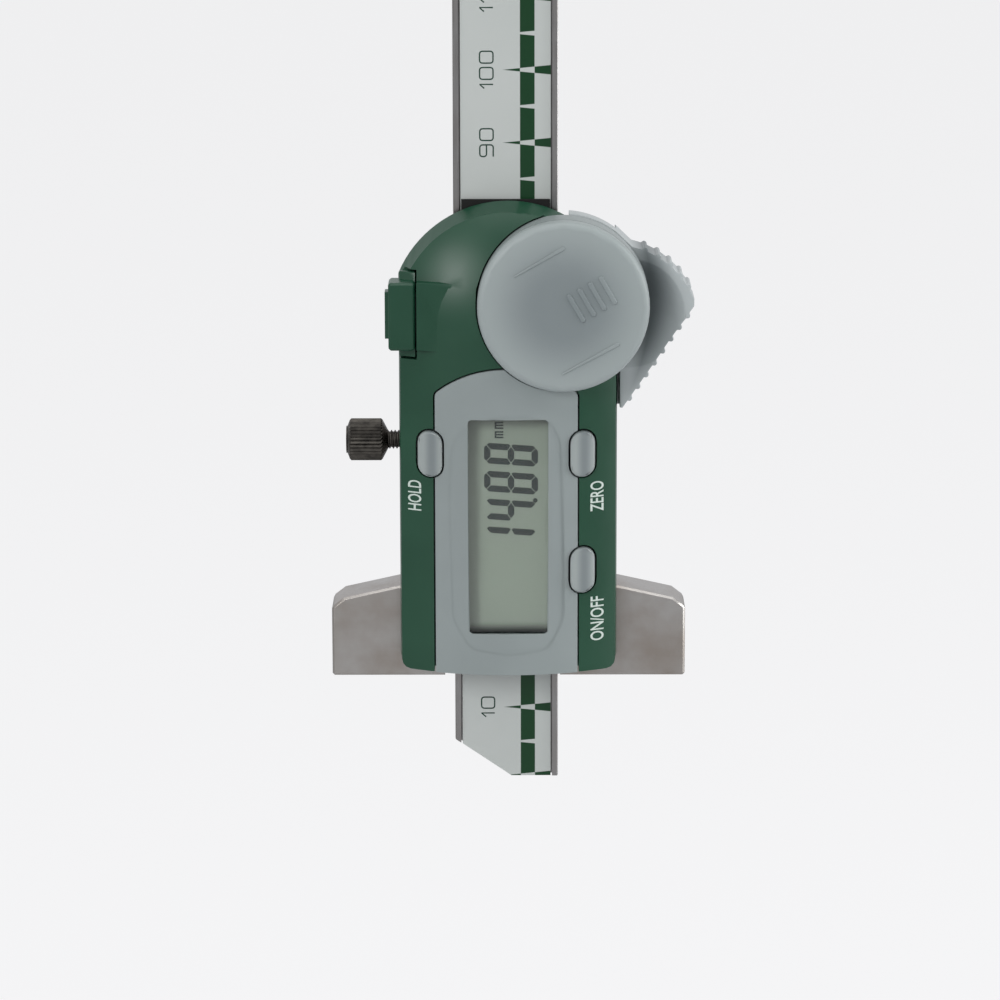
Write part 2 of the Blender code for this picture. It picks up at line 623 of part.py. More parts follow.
def housing_section(back, inset):
    """The housing's outline at its back edge or at the edge of its face, moved in by a wall."""
    half = (HOUSING_WIDTH if back else HOUSING_FRONT_WIDTH) / 2 - inset
    radius = (DOME_RADIUS if back else DOME_FRONT_RADIUS) - inset
    return tombstone(half, radius, HOUSING_BOTTOM_Z + inset, HOUSING_CORNER)


def housing_body(name, inset, back_y, radius, finish=None):
    """The housing's outer or inner form: drafted rim, straight on to the front, trimmed by the crown."""
    edge_y = HOUSING_BACK_Y - DOME_EDGE_DEPTH
    sections = [(back_y, housing_section(True, inset)), (edge_y, housing_section(False, inset)),
                (FAR_FRONT_Y, housing_section(False, inset))]
    if back_y > HOUSING_BACK_Y:
        sections.insert(1, (HOUSING_BACK_Y, housing_section(True, inset)))
    body = loft(name, "Y", sections, finish)
    return combine(body, crown(f"{name}_crown", radius), "INTERSECT")


def port_box(name, x_low, x_high, y_low, y_high, grow=0.0, finish=None):
    """A box beside the data port, as high as the port and grown above and below."""
    return box(name, (x_low, y_low, PORT_LOW_Z - grow), (x_high, y_high, PORT_HIGH_Z + grow), finish)


def make_housing():
    housing = housing_body("housing_front", 0.0, HOUSING_BACK_Y, CROWN_RADIUS, GREEN_ABS)
    inner_radius = CROWN_RADIUS - HOUSING_WALL
    cavity = housing_body("cut_cavity", HOUSING_WALL, HOUSING_BACK_Y + CUT_REACH, inner_radius)

    # The port's wall and the screw bosses are left standing in the cavity
    wall_grow = PORT_TAB_RISE + PORT_WALL
    wall_back = HOUSING_BACK_Y - PORT_WALL / 2
    outer_side = -HOUSING_SIDE_X - CUT_REACH
    wall = port_box("keep_port_wall", outer_side, PORT_SEAM_X + PORT_WALL, FAR_FRONT_Y, wall_back, wall_grow)
    combine(cavity, wall)
    for name, (x, z) in HOUSING_SCREWS.items():
        boss = rod(f"keep_boss_{name}", (x, FAR_FRONT_Y, z), (x, HOUSING_BACK_Y - GAP / 3, z), BOSS_RADIUS)
        combine(cavity, boss)

    # The flat hump beside the port, then the hollow behind it
    hump = port_box("add_hump", PORT_SEAM_X - PORT_WALL, HUMP_END_X, PORT_PLANE_Y, PORT_BACK_Y - PORT_WALL)
    combine(housing, hump, "UNION")
    combine(housing, cavity)
    hollow = port_box("cut_hollow", PORT_SEAM_X + PORT_WALL, HUMP_END_X, PORT_PLANE_Y + PORT_WALL,
                      HOUSING_BACK_Y - PORT_WALL, -PORT_WALL)
    combine(housing, hollow)
    pocket = port_box("cut_pocket", outer_side, PORT_SEAM_X, FAR_FRONT_Y, PORT_BACK_Y + GAP,
                      PORT_TAB_RISE + GAP)
    combine(housing, pocket)
    plug_hole = port_box("cut_plug_hole", PORT_SEAM_X - CUT_REACH, PORT_SEAM_X + 2 * PORT_WALL,
                         PORT_PLANE_Y + PLUG_INSET - GAP, PORT_BACK_Y - PORT_WALL + GAP, GAP - PLUG_INSET)
    combine(housing, plug_hole)

    opening = plate("cut_bezel_opening", bezel_outline(SEAM_GAP, -CUT_REACH), FAR_FRONT_Y, BEZEL_BACK_Y + GAP)
    combine(housing, opening)
    cut_round_cap(housing)
    for name, centre in KEYS.items():
        hole = plate(f"cut_key_{name}", stadium(centre, KEY_GAP), FAR_FRONT_Y, KEY_BACK_Y)
        combine(housing, hole)
    for name, (x, z) in HOUSING_SCREWS.items():
        blind_end = (x, SCREW_TIP_Y - BOSS_TIP_GAP, z)
        mouth = (x, HOUSING_BACK_Y + CUT_REACH, z)
        bore = rod(f"cut_bore_{name}", blind_end, mouth, SCREW_RADIUS + GAP, segments=16)
        combine(housing, bore)


def cut_round_cap(target):
    """Room for the battery's drum, which goes through the face, and for the cap above it."""
    centre = (CAP_CENTRE_X, CAP_CENTRE_Z)
    name = target.name
    drum = plate(f"cut_drum_{name}", circle(centre, CAP_RADIUS + SEAM_GAP), FAR_FRONT_Y, DRUM_BACK_Y + GAP)
    combine(target, drum)


def bezel_outline(grow, bottom, arc_steps=16):
    """The display surround: straight sides, rounded upper corners and an arched top."""
    half = BEZEL_WIDTH / 2 + grow
    radius = BEZEL_TOP_RADIUS + grow
    centre_z = BEZEL_TOP_Z - BEZEL_TOP_RADIUS
    reach = radius - BEZEL_CORNER
    turn = math.degrees(math.acos((half - BEZEL_CORNER) / reach))
    corner_z = centre_z + reach * math.sin(math.radians(turn))
    right = arc((half - BEZEL_CORNER, corner_z), BEZEL_CORNER, 0, turn, 3)
    left = [(-x, z) for x, z in reversed(right)]
    top = arc((0.0, centre_z), radius, turn, 180 - turn, arc_steps)[1:-1]
    outline = [(-half, bottom), (half, bottom)] + right + top + left
    return [(BEZEL_CENTRE_X + x, z) for x, z in outline]


def window_outline(grow_x, grow_z):
    """The window, or what lies behind it, which is larger all round."""
    return rectangle(WINDOW_WIDTH + 2 * grow_x, WINDOW_BOTTOM_Z - grow_z, WINDOW_TOP_Z + grow_z)


def make_bezel():
    bezel = plate("lcd_bezel", bezel_outline(0.0, HOUSING_BOTTOM_Z), FAR_FRONT_Y, BEZEL_BACK_Y, GREY_ABS)
    combine(bezel, crown("bezel_crown", CROWN_RADIUS + BEZEL_PROUD), "INTERSECT")
    flange_outline = bezel_outline(BEZEL_FLANGE, BEZEL_FLANGE_BOTTOM_Z)
    flange = plate("add_flange", flange_outline, FAR_FRONT_Y, BEZEL_BACK_Y - GAP)
    combine(flange, crown("flange_crown", CROWN_RADIUS - HOUSING_WALL - GAP), "INTERSECT")
    for name, (x, z) in HOUSING_SCREWS.items():
        room = rod(f"cut_flange_{name}", (x, FAR_FRONT_Y, z), (x, BEZEL_BACK_Y, z), BOSS_RADIUS + GAP)
        combine(flange, room)
    combine(bezel, flange, "UNION")
    window = window_outline(0.0, 0.0)
    lens = window_outline(LENS_MARGIN + GAP, LENS_MARGIN + GAP)
    panel = window_outline(LCD_MARGIN_X + GAP, LCD_MARGIN_Z + GAP)
    lens_y = LENS_FRONT_Y - GAP
    panel_y = LCD_FRONT_Y - GAP
    steps = [(FAR_FRONT_Y, window), (lens_y, window), (lens_y, lens), (panel_y, lens), (panel_y, panel),
             (BEZEL_BACK_Y + CUT_REACH, panel)]
    combine(bezel, loft("cut_window_and_pockets", "Y", steps))
    cut_round_cap(bezel)
    for name, centre in KEYS.items():
        notch = plate(f"notch_{name}", stadium(centre, KEY_GAP), FAR_FRONT_Y, BEZEL_BACK_Y + CUT_REACH)
        combine(bezel, notch)


def make_display():
    lens = window_outline(LENS_MARGIN, LENS_MARGIN)
    plate("display_window", lens, LENS_FRONT_Y, LENS_FRONT_Y + LENS_THICKNESS, CLEAR_LENS)
    back = LCD_FRONT_Y + LCD_THICKNESS
    plate("lcd_panel", window_outline(LCD_MARGIN_X, LCD_MARGIN_Z), LCD_FRONT_Y, back, LCD_GLASS)
    for side, sign in SIDES.items():
        x = sign * (WINDOW_WIDTH / 2 + LCD_MARGIN_X - ZEBRA_INSET - ZEBRA_WIDTH / 2)
        outline = rectangle(ZEBRA_WIDTH, WINDOW_BOTTOM_Z, WINDOW_TOP_Z, x)
        plate(f"zebra_strip_{side}", outline, back + GAP, PCB_FRONT_Y - GAP, RUBBER)


def make_board():
    inset = HOUSING_WALL + PCB_EDGE_GAP
    half = HOUSING_SIDE_X - inset
    outline = tombstone(half, DOME_RADIUS - inset, HOUSING_BOTTOM_Z + inset, HOUSING_CORNER)
    board = plate("main_pcb", outline, PCB_FRONT_Y, PCB_BACK_Y, BOARD)
    for name, (x, z) in HOUSING_SCREWS.items():
        notch = rod(f"cut_board_{name}", (x, PCB_FRONT_Y - CUT_REACH, z), (x, PCB_BACK_Y + CUT_REACH, z),
                    BOSS_RADIUS + GAP, segments=16)
        combine(board, notch)
    wall_grow = PORT_TAB_RISE + PORT_WALL + GAP
    notch = port_box("cut_board_port", -HOUSING_WIDTH, PORT_SEAM_X + PORT_WALL + GAP, PCB_FRONT_Y - CUT_REACH,
                     PCB_BACK_Y + CUT_REACH, wall_grow)
    combine(board, notch)
    on_board("main_chip", CHIP_CENTRE, CHIP_SIZE, CHIP_THICKNESS, EPOXY)
    on_board("quartz_crystal", CRYSTAL_CENTRE, CRYSTAL_SIZE, CRYSTAL_THICKNESS, CELL_STEEL)
    half = SWITCH_SIZE / 2
    for name, (x, z) in KEYS.items():
        low = (x - half, SWITCH_FRONT_Y, z - half)
        box(f"key_switch_{name}", low, (x + half, SWITCH_BACK_Y, z + half), CELL_STEEL)
    for name, (low, high) in (("upper_wiper", UPPER_WIPER_Z), ("lower_wiper", LOWER_WIPER_Z)):
        outline = rectangle(WIPER_WIDTH, low, high, BEAM_CENTRE_X)
        plate(name, outline, BEAM_FRONT_Y - WIPER_THICKNESS, BEAM_FRONT_Y, RUBBER)


def on_board(name, centre, size, thickness, finish):
    """A component that sits on the board's front."""
    front = PCB_FRONT_Y - GAP - thickness
    low = (centre[0] - size[0] / 2, front, centre[1] - size[1] / 2)
    high = (centre[0] + size[0] / 2, front + thickness, centre[1] + size[1] / 2)
    return bevel(box(name, low, high, finish), thickness / 5)


def make_keys():
    for name, centre in KEYS.items():
        key = plate(f"button_{name}", stadium(centre), FAR_FRONT_Y, KEY_BACK_Y, GREY_ABS)
        combine(key, crown(f"{name}_key_crown", CROWN_RADIUS + KEY_PROUD), "INTERSECT")
        rim = stadium(centre, KEY_FLANGE)
        flange_front = KEY_BACK_Y - KEY_FLANGE_THICKNESS
        flange = plate(f"add_{name}_key_flange", rim, flange_front, KEY_BACK_Y - GAP / 3)
        combine(key, flange, "UNION")
        set_origin(smooth(key), (centre[0], KEY_BACK_Y, centre[1]))


def make_battery():
    centre = (CAP_CENTRE_X, CAP_CENTRE_Z)

    # The cap, with a rounded front edge
    sections = [(CAP_BACK_Y, circle(centre, CAP_RADIUS))]
    for angle in (0, 30, 60, 90):
        turn = math.radians(angle)
        y = CAP_FRONT_Y + CAP_EDGE * (1 - math.sin(turn))
        sections.append((y, circle(centre, CAP_RADIUS - CAP_EDGE * (1 - math.cos(turn)))))
    cap = loft("battery_cap", "Y", sections, GREY_ABS)
    set_origin(smooth(cap), (CAP_CENTRE_X, CAP_BACK_Y, CAP_CENTRE_Z))

    # The drum, open to the front
    floor_y = DRUM_BACK_Y - DRUM_FLOOR
    drum = plate("battery_holder", circle(centre, CAP_RADIUS), DRUM_FRONT_Y, DRUM_BACK_Y, GREY_ABS)
    combine(drum, plate("cut_battery_bore", circle(centre, DRUM_BORE_RADIUS), FAR_FRONT_Y, floor_y))

    # The cell and its two leaf contacts
    leaf_back = floor_y - GLUE_GAP
    leaf_front = leaf_back - CONTACT_THICKNESS
    cell_back = leaf_front - GLUE_GAP
    cell_front = cell_back - BATTERY_THICKNESS
    small = BATTERY_RADIUS - BATTERY_EDGE
    profile = [(cell_back, small), (cell_back - BATTERY_EDGE, BATTERY_RADIUS),
               (cell_front + BATTERY_EDGE, BATTERY_RADIUS), (cell_front, small)]
    smooth(loft("battery", "Y", [(y, circle(centre, radius, 60)) for y, radius in profile], CELL_STEEL))

    half = CONTACT_WIDTH / 2
    leg_x = CAP_CENTRE_X - LEAF_REACH
    leaf = box("battery_contact_negative", (leg_x, leaf_front, CAP_CENTRE_Z - half),
               (CAP_CENTRE_X + LEAF_REACH, leaf_back, CAP_CENTRE_Z + half), SPRING_STEEL)
    leg = box("add_leg", (leg_x, leaf_front, CAP_CENTRE_Z - half),
              (leg_x + 2 * CONTACT_THICKNESS, PCB_FRONT_Y - GAP, CAP_CENTRE_Z + half))
    combine(leaf, leg, "UNION")
    slot = box("cut_leg_slot", (leg_x - GAP, FAR_FRONT_Y, CAP_CENTRE_Z - half - GAP),
               (leg_x + 2 * CONTACT_THICKNESS + GAP, DRUM_BACK_Y + CUT_REACH, CAP_CENTRE_Z + half + GAP))
    combine(drum, slot)

    side_top = CAP_CENTRE_Z - DRUM_BORE_RADIUS
    side_low = side_top - 2 * CONTACT_THICKNESS
    box("battery_contact_positive", (CAP_CENTRE_X - half, cell_front, side_low),
        (CAP_CENTRE_X + half, PCB_FRONT_Y - GAP, side_top), SPRING_STEEL)
    notch = box("cut_side_notch", (CAP_CENTRE_X - half - GAP, cell_front - GAP, side_low - GAP),
                (CAP_CENTRE_X + half + GAP, DRUM_BACK_Y + CUT_REACH, CAP_CENTRE_Z - BATTERY_RADIUS))
    combine(drum, notch)
    smooth(drum)


def make_port():
    seam_side = PORT_SEAM_X - SEAM_GAP
    block = port_box("port_cover", PORT_FACE_X, seam_side, PORT_PLANE_Y, PORT_BACK_Y, finish=GREEN_ABS)
    bevel(block, GAP)
    tabs = port_box("add_tabs", PORT_TAB_X, seam_side, FAR_FRONT_Y, PORT_BACK_Y - GAP / 3, PORT_TAB_RISE)
    combine(tabs, crown("tabs_crown", CROWN_RADIUS), "INTERSECT")
    combine(block, tabs, "UNION")
    lip = box("add_lip", (PORT_LIP_X, PORT_PLANE_Y + PORT_WALL, PORT_LOW_Z + PORT_LIP_INSET[1]),
              (PORT_FACE_X + PORT_WALL, PORT_BACK_Y - PORT_WALL, PORT_HIGH_Z - PORT_LIP_INSET[0]))
    combine(block, lip, "UNION")
    plug_end = seam_side + PLUG_LENGTH
    plug = port_box("add_plug", PORT_SEAM_X - PORT_WALL, plug_end, PORT_PLANE_Y + PLUG_INSET,
                    PORT_BACK_Y - PORT_WALL, -PLUG_INSET)
    combine(block, plug, "UNION")
    set_origin(block, (PORT_SEAM_X, PORT_BACK_Y, (PORT_LOW_Z + PORT_HIGH_Z) / 2))

    connector_x = plug_end + GAP
    front = PORT_PLANE_Y + PLUG_INSET + GAP
    port_box("port_connector", connector_x, connector_x + CONNECTOR_DEPTH, front, PCB_FRONT_Y - GAP,
             -PLUG_INSET, EPOXY)
    middle = (PORT_LOW_Z + PORT_HIGH_Z) / 2
    for index in range(PORT_CONTACT_COUNT):
        z = middle + (index - (PORT_CONTACT_COUNT - 1) / 2) * PORT_CONTACT_PITCH
        half = PORT_CONTACT_WIDTH / 2
        start = connector_x + CONNECTOR_DEPTH + GLUE_GAP
        box(f"port_contact_{index + 1}", (start, PCB_FRONT_Y - GAP - PORT_CONTACT_THICKNESS, z - half),
            (start + PORT_CONTACT_LENGTH, PCB_FRONT_Y - GAP, z + half), GOLD_PLATE)


def ribbed(points, pitch, radius):
    """A path with a round rib at each pitch along it, standing out to the left of its direction."""
    lengths = [math.dist(a, b) for a, b in zip(points, points[1:])]
    total = sum(lengths)
    count = int(total / pitch)
    margin = (total - (count - 1) * pitch) / 2

    def at(distance):
        for start, end, length in zip(points, points[1:], lengths):
            if distance <= length or (start, end) == (points[-2], points[-1]):
                share = distance / length
                along = ((end[0] - start[0]) / length, (end[1] - start[1]) / length)
                place = (start[0] + (end[0] - start[0]) * share, start[1] + (end[1] - start[1]) * share)
                return place, along
            distance -= length

    path = [points[0]]
    for index in range(count):
        middle, along = at(margin + index * pitch)
        outward = (-along[1], along[0])
        for angle in (180, 135, 90, 45, 0):
            turn = math.radians(angle)
            across = radius * math.cos(turn)
            rise = radius * math.sin(turn)
            path.append((middle[0] + along[0] * across + outward[0] * rise,
                         middle[1] + along[1] * across + outward[1] * rise))
    path.append(points[-1])
    return path


def make_grip():
    arc_centre, apex, foot, scoop_centre = (
        (HOUSING_SIDE_X + x, z) for x, z in (GRIP_ARC_CENTRE, GRIP_APEX, GRIP_FOOT, GRIP_SCOOP_CENTRE))
    tongue = [from_cap_centre(CAP_RADIUS + GRIP_TONGUE_PROUD, angle)
              for angle in range(GRIP_TONGUE_ANGLES[0], GRIP_TONGUE_ANGLES[1] - 1, -GRIP_TONGUE_STEP)]
    shoulder = arc(arc_centre, GRIP_ARC_RADIUS, *GRIP_ARC_ANGLES, GRIP_ARC_STEPS)
    slope = ribbed(shoulder, GRIP_RIB_PITCH, GRIP_RIB_RADIUS)
    edge = ribbed([apex, foot], GRIP_RIB_PITCH, GRIP_RIB_RADIUS)
    frame_side = UPRIGHT_WIDTH / 2 + GAP
    housing_side = HOUSING_SIDE_X + GAP
    outline = tongue + slope + edge + [(housing_side, foot[1]), (frame_side, foot[1]),
                                       (frame_side, DOME_CENTRE_Z), (tongue[0][0], DOME_CENTRE_Z)]
    grip = plate("thumb_grip", outline, GRIP_FRONT_Y, GRIP_BACK_Y, GREY_ABS)

    grown = tombstone(housing_side, DOME_RADIUS + GAP, HOUSING_BOTTOM_Z, HOUSING_CORNER)
    combine(grip, plate("cut_beside_housing", grown, FAR_FRONT_Y, HOUSING_BACK_Y + GAP))
    frame_grown = tombstone(frame_side, FRAME_DOME_RADIUS + GAP, HOUSING_BOTTOM_Z, HOUSING_CORNER)
    combine(grip, plate("cut_beside_frame", frame_grown, HOUSING_BACK_Y, FRAME_BACK_Y + CUT_REACH))
    tongue_end = from_cap_centre(CAP_RADIUS, GRIP_TONGUE_ANGLES[1])
    behind_tongue = box("cut_behind_tongue", (0.0, GRIP_TONGUE_BACK_Y, DOME_CENTRE_Z),
                        (tongue_end[0], FRAME_BACK_Y, DOME_CENTRE_Z + 2 * DOME_RADIUS))
    combine(grip, behind_tongue)
    scoop = bmesh.new()
    scoop_y = GRIP_FRONT_Y + GRIP_SCOOP_DEPTH - GRIP_SCOOP_RADIUS
    middle = Vector((scoop_centre[0], scoop_y, scoop_centre[1]))
    turned = Matrix.Translation(middle) @ Matrix.Rotation(math.pi / 2, 4, "X")
    bmesh.ops.create_uvsphere(scoop, u_segments=32, v_segments=32, radius=GRIP_SCOOP_RADIUS, matrix=turned)
    combine(grip, add_bmesh("cut_scoop", scoop))


def make_housing_screws():
    for name, place in HOUSING_SCREWS.items():
        headed_screw(f"housing_screw_{name}", place, SCREW_TIP_Y, SCREW_SEAT_Y + GAP, SCREW_RADIUS,
                     SCREW_HEAD_RADIUS, SCREW_HEAD_HEIGHT)


make_frame()
make_beam()
make_gib_and_lock()
make_housing()
make_bezel()
make_display()
make_board()
make_keys()
make_battery()
make_port()
make_grip()
make_housing_screws()
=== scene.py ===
# %% [markdown]
# # Digital depth gauge
# A depth gauge measures how far a step or slot lies below a face. A flat beam slides through a steel
# bridge, and a moulded unit on the bridge reads a strip under the beam's label and shows the depth.
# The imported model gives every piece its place. This script gives the pieces that show their rounded
# edges, their small detail and their finishes.

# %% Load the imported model
import math

import bpy
from mathutils import Matrix, Vector


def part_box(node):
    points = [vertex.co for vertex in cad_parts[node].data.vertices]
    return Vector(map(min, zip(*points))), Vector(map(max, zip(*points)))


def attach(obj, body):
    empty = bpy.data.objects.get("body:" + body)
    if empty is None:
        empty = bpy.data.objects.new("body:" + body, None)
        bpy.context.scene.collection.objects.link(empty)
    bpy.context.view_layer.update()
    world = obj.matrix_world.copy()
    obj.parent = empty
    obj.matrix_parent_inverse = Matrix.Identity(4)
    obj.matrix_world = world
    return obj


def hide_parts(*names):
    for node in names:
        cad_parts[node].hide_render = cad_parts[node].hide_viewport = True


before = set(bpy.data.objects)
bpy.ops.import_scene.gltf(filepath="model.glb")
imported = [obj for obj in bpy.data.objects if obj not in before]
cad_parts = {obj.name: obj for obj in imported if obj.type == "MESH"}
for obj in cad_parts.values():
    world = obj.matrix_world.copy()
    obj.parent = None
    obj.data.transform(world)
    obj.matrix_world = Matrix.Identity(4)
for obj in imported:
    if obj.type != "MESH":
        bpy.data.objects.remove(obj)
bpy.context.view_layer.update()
SCENE, VIEW = bpy.context.scene, bpy.context.view_layer
MM = 0.001

# %% [markdown]
# ## Camera
# The photograph was taken with a long lens from above, about 0.6 m away. The camera's place and its
# three directions were worked out from the marks on the label, which are 10 mm apart. A camera looks
# along its own -Z, so its matrix holds the right, up and backward directions as columns. The lens and
# the sensor are in millimetres.

# %% Camera
CAMERA_PLACE = Vector((0.000978, -0.58666, 0.15141))
CAMERA_RIGHT = Vector((0.99999237, 0.00318884, -0.00225458))
CAMERA_UP = Vector((0.00152598, 0.21236002, 0.97719031))
CAMERA_LENS, SENSOR_WIDTH = 153.54, 36.0


def place_new(name, data):
    """A new object in the scene."""
    item = bpy.data.objects.new(name, data)
    SCENE.collection.objects.link(item)
    return item


def make_camera():
    backward = CAMERA_RIGHT.cross(CAMERA_UP)
    turn = Matrix((CAMERA_RIGHT, CAMERA_UP, backward)).transposed().to_4x4()
    camera = place_new("camera", bpy.data.cameras.new("camera"))
    camera.data.sensor_width = SENSOR_WIDTH
    camera.data.lens = CAMERA_LENS
    camera.data.clip_start = 0.05
    camera.data.clip_end = 50.0
    camera.matrix_world = Matrix.Translation(CAMERA_PLACE) @ turn
    SCENE.camera = camera
    return camera


print("camera at", tuple(make_camera().location))

# %% [markdown]
# ## Finishes
# A finish is a small tree of nodes that ends in one shader. Two helpers are enough for all of them: one
# turns a colour as a screen shows it into the linear numbers that light is worked out with, and one
# adds a node with its settings and links. Patterns read Object coordinates, which are real metres here,
# so a grain of 0.2 mm is written as 0.2 mm.

# %% Helpers for finishes
NOISE, RANGE, MATHS, MIX = "ShaderNodeTexNoise", "ShaderNodeMapRange", "ShaderNodeMath", "ShaderNodeMix"


def colour(code):
    """A linear colour from an sRGB code such as "8a9a9b"."""
    channels = [int(code[place:place + 2], 16) / 255 for place in (0, 2, 4)]
    linear = [c / 12.92 if c <= 0.04045 else ((c + 0.055) / 1.055) ** 2.4 for c in channels]
    return (*linear, 1.0)


def add(tree, kind, inputs, out=0, **settings):
    """Add a node with its settings. Each input takes a number, a colour or the output that feeds it."""
    node = tree.nodes.new(kind)
    for name, value in settings.items():
        setattr(node, name, value)
    for socket, value in inputs.items():
        if isinstance(value, bpy.types.NodeSocket):
            tree.links.new(value, node.inputs[socket])
        else:
            node.inputs[socket].default_value = value
    return node.outputs[out]


def start_finish(name, roughness, metallic=0.0, specular=0.5):
    """A material, its tree and its Object coordinates."""
    material = bpy.data.materials.new(name)
    material.use_nodes = True
    shader = material.node_tree.nodes["Principled BSDF"]
    shader.inputs["Roughness"].default_value = roughness
    shader.inputs["Metallic"].default_value = metallic
    shader.inputs["Specular IOR Level"].default_value = specular
    place = add(material.node_tree, "ShaderNodeTexCoord", {}, "Object")
    return material, material.node_tree, place


def feed(material, **sources):
    """Link outputs to the shader's sockets, named with _ for a space."""
    shader = material.node_tree.nodes["Principled BSDF"]
    for socket, source in sources.items():
        material.node_tree.links.new(source, shader.inputs[socket.replace("_", " ")])
    return material


# %% [markdown]
# ### Moulded ABS
# The green housing and the grey trim are injection-moulded ABS. The mould's surface is spark-eroded to a
# satin grain about 0.15 mm across, which breaks highlights into a soft glow. Handling polishes it in
# patches, so the roughness drifts a little over centimetres, and the colour hardly at all.

# %% Moulded ABS
GRAIN = 0.15 * MM
HANDLING = 9 * MM


def moulded_abs(name, body, worn, roughness, specular=0.5):
    material, tree, place = start_finish(name, roughness, 0.0, specular)
    grain = add(tree, NOISE, {"Vector": place, "Scale": 1 / GRAIN, "Detail": 2.0})
    patches = add(tree, NOISE, {"Vector": place, "Scale": 1 / HANDLING, "Detail": 2.0})
    share = add(tree, RANGE, {"Value": patches, "From Min": 0.35, "From Max": 0.75})
    tint = add(tree, MIX, {0: share, 6: colour(body), 7: colour(worn)}, 2, data_type="RGBA")
    spread = add(tree, RANGE, {"Value": patches, "From Min": 0.3, "From Max": 0.7,
                               "To Min": roughness - 0.04, "To Max": roughness + 0.05})
    relief = add(tree, "ShaderNodeBump", {"Height": grain, "Distance": 0.006 * MM, "Strength": 0.5})
    return feed(material, Base_Color=tint, Roughness=spread, Normal=relief)


GREEN_ABS = moulded_abs("moulded_green_abs", "17422f", "1b4733", 0.34, 0.36)
GREY_ABS = moulded_abs("moulded_grey_abs", "8a9393", "8e9797", 0.42)
print("ABS:", GREEN_ABS.name, GREY_ABS.name)

# %% [markdown]
# The cap and the keys get painted shade in the middle and a painted highlight towards the rim, where their
# rounded edges catch the light. The hollow of the thumb grip gets painted shade where the cap shades it.
# The same plastic therefore gets a second tint that depends on the distance from the cap's centre, or from
# the long middle line of the keys, measured on the pieces.

# %% ABS with painted shade and highlight
CAP_MIDDLE = (7.55 * MM, 54.0 * MM)
KEY_LINE_X = 10.5 * MM
HOLLOW_END = 36 * MM
HOLLOW_LEAN = -1.2


def handled_abs(name, middle, rim, roughness, reach, distance_from):
    """ABS with painted shade in the middle and a painted highlight on the rim; reach gives where the
    lighter rim starts and is full.
    """
    material = moulded_abs(name, middle, middle, roughness)
    tree = material.node_tree
    place = add(tree, "ShaderNodeTexCoord", {}, "Object")
    distance = distance_from(tree, place)
    share = add(tree, RANGE, {"Value": distance, "From Min": reach[0], "From Max": reach[1]},
                interpolation_type="SMOOTHSTEP")
    tint = add(tree, MIX, {0: share, 6: colour(middle), 7: colour(rim)}, 2, data_type="RGBA")
    return feed(material, Base_Color=tint)


def from_cap_centre(tree, place):
    flat = add(tree, "ShaderNodeVectorMath", {0: place, 1: (1, 0, 1)}, operation="MULTIPLY")
    centre = (CAP_MIDDLE[0], 0, CAP_MIDDLE[1])
    return add(tree, "ShaderNodeVectorMath", {0: flat, 1: centre}, "Value", operation="DISTANCE")


def from_key_line(tree, place):
    x = add(tree, "ShaderNodeSeparateXYZ", {0: place}, "X")
    side = add(tree, MATHS, {0: x}, operation="ABSOLUTE")
    away = add(tree, MATHS, {0: side, 1: KEY_LINE_X}, operation="SUBTRACT")
    return add(tree, MATHS, {0: away}, operation="ABSOLUTE")


def from_grip_hollow(tree, place):
    """The way from the cap's centre, or over a leaning line at the grip's lower end if that is more."""
    radius = from_cap_centre(tree, place)
    x = add(tree, "ShaderNodeSeparateXYZ", {0: place}, "X")
    away = add(tree, MATHS, {0: x, 1: HOLLOW_LEAN, 2: HOLLOW_END}, operation="MULTIPLY_ADD")
    return add(tree, MATHS, {0: radius, 1: away}, operation="MAXIMUM")


# The darker middles and lighter rims of the cap and the keys are painted shade and painted highlight, and
# the grip's dark hollow is the cap's painted shadow.
CAP_ABS = handled_abs("moulded_cap_abs", "7c8587", "9aa3a3", 0.44, (3.5 * MM, 11.6 * MM), from_cap_centre)
KEY_ABS = handled_abs("moulded_key_abs", "7a8284", "98a09f", 0.36, (0.1 * MM, 1.3 * MM), from_key_line)
GRIP_ABS = handled_abs("moulded_grip_abs", "5f6769", "b0b7b8", 0.42, (12.4 * MM, 16.2 * MM),
                       from_grip_hollow)
print("painted shade ABS:", CAP_ABS.name, KEY_ABS.name, GRIP_ABS.name)

# %% [markdown]
# ### Ground steel
# The bridge and the beam are surface-ground tool steel. A grinding wheel leaves straight, fine lines
# along its travel, drawn here 0.12 mm apart, coarser than the real ones, so that they show. Oil and age
# leave brownish clouds a centimetre across. Metal takes its whole look from what it reflects, so the
# base colour stays that of clean steel, a little warm.

# %% Ground steel
LINE_PITCH = 0.12 * MM
LINE_LENGTH = 7 * MM
CLOUD = 8 * MM


def ground_steel(name, clean, stained, roughness, along):
    material, tree, place = start_finish(name, roughness, 1.0)
    sizes = [1 / (LINE_LENGTH if axis == along else LINE_PITCH) for axis in "XYZ"]
    drawn = add(tree, "ShaderNodeMapping", {"Vector": place, "Scale": sizes})
    lines = add(tree, NOISE, {"Vector": drawn, "Scale": 1.0, "Detail": 2.0})
    clouds = add(tree, NOISE, {"Vector": place, "Scale": 1 / CLOUD, "Detail": 4.0})
    stain = add(tree, RANGE, {"Value": clouds, "From Min": 0.38, "From Max": 0.68})
    tint = add(tree, MIX, {0: stain, 6: colour(clean), 7: colour(stained)}, 2, data_type="RGBA")
    spread = add(tree, RANGE, {"Value": lines, "From Min": 0.3, "From Max": 0.7,
                               "To Min": roughness - 0.06, "To Max": roughness + 0.08})
    relief = add(tree, "ShaderNodeBump", {"Height": lines, "Distance": 0.004 * MM, "Strength": 0.5})
    return feed(material, Base_Color=tint, Roughness=spread, Normal=relief)


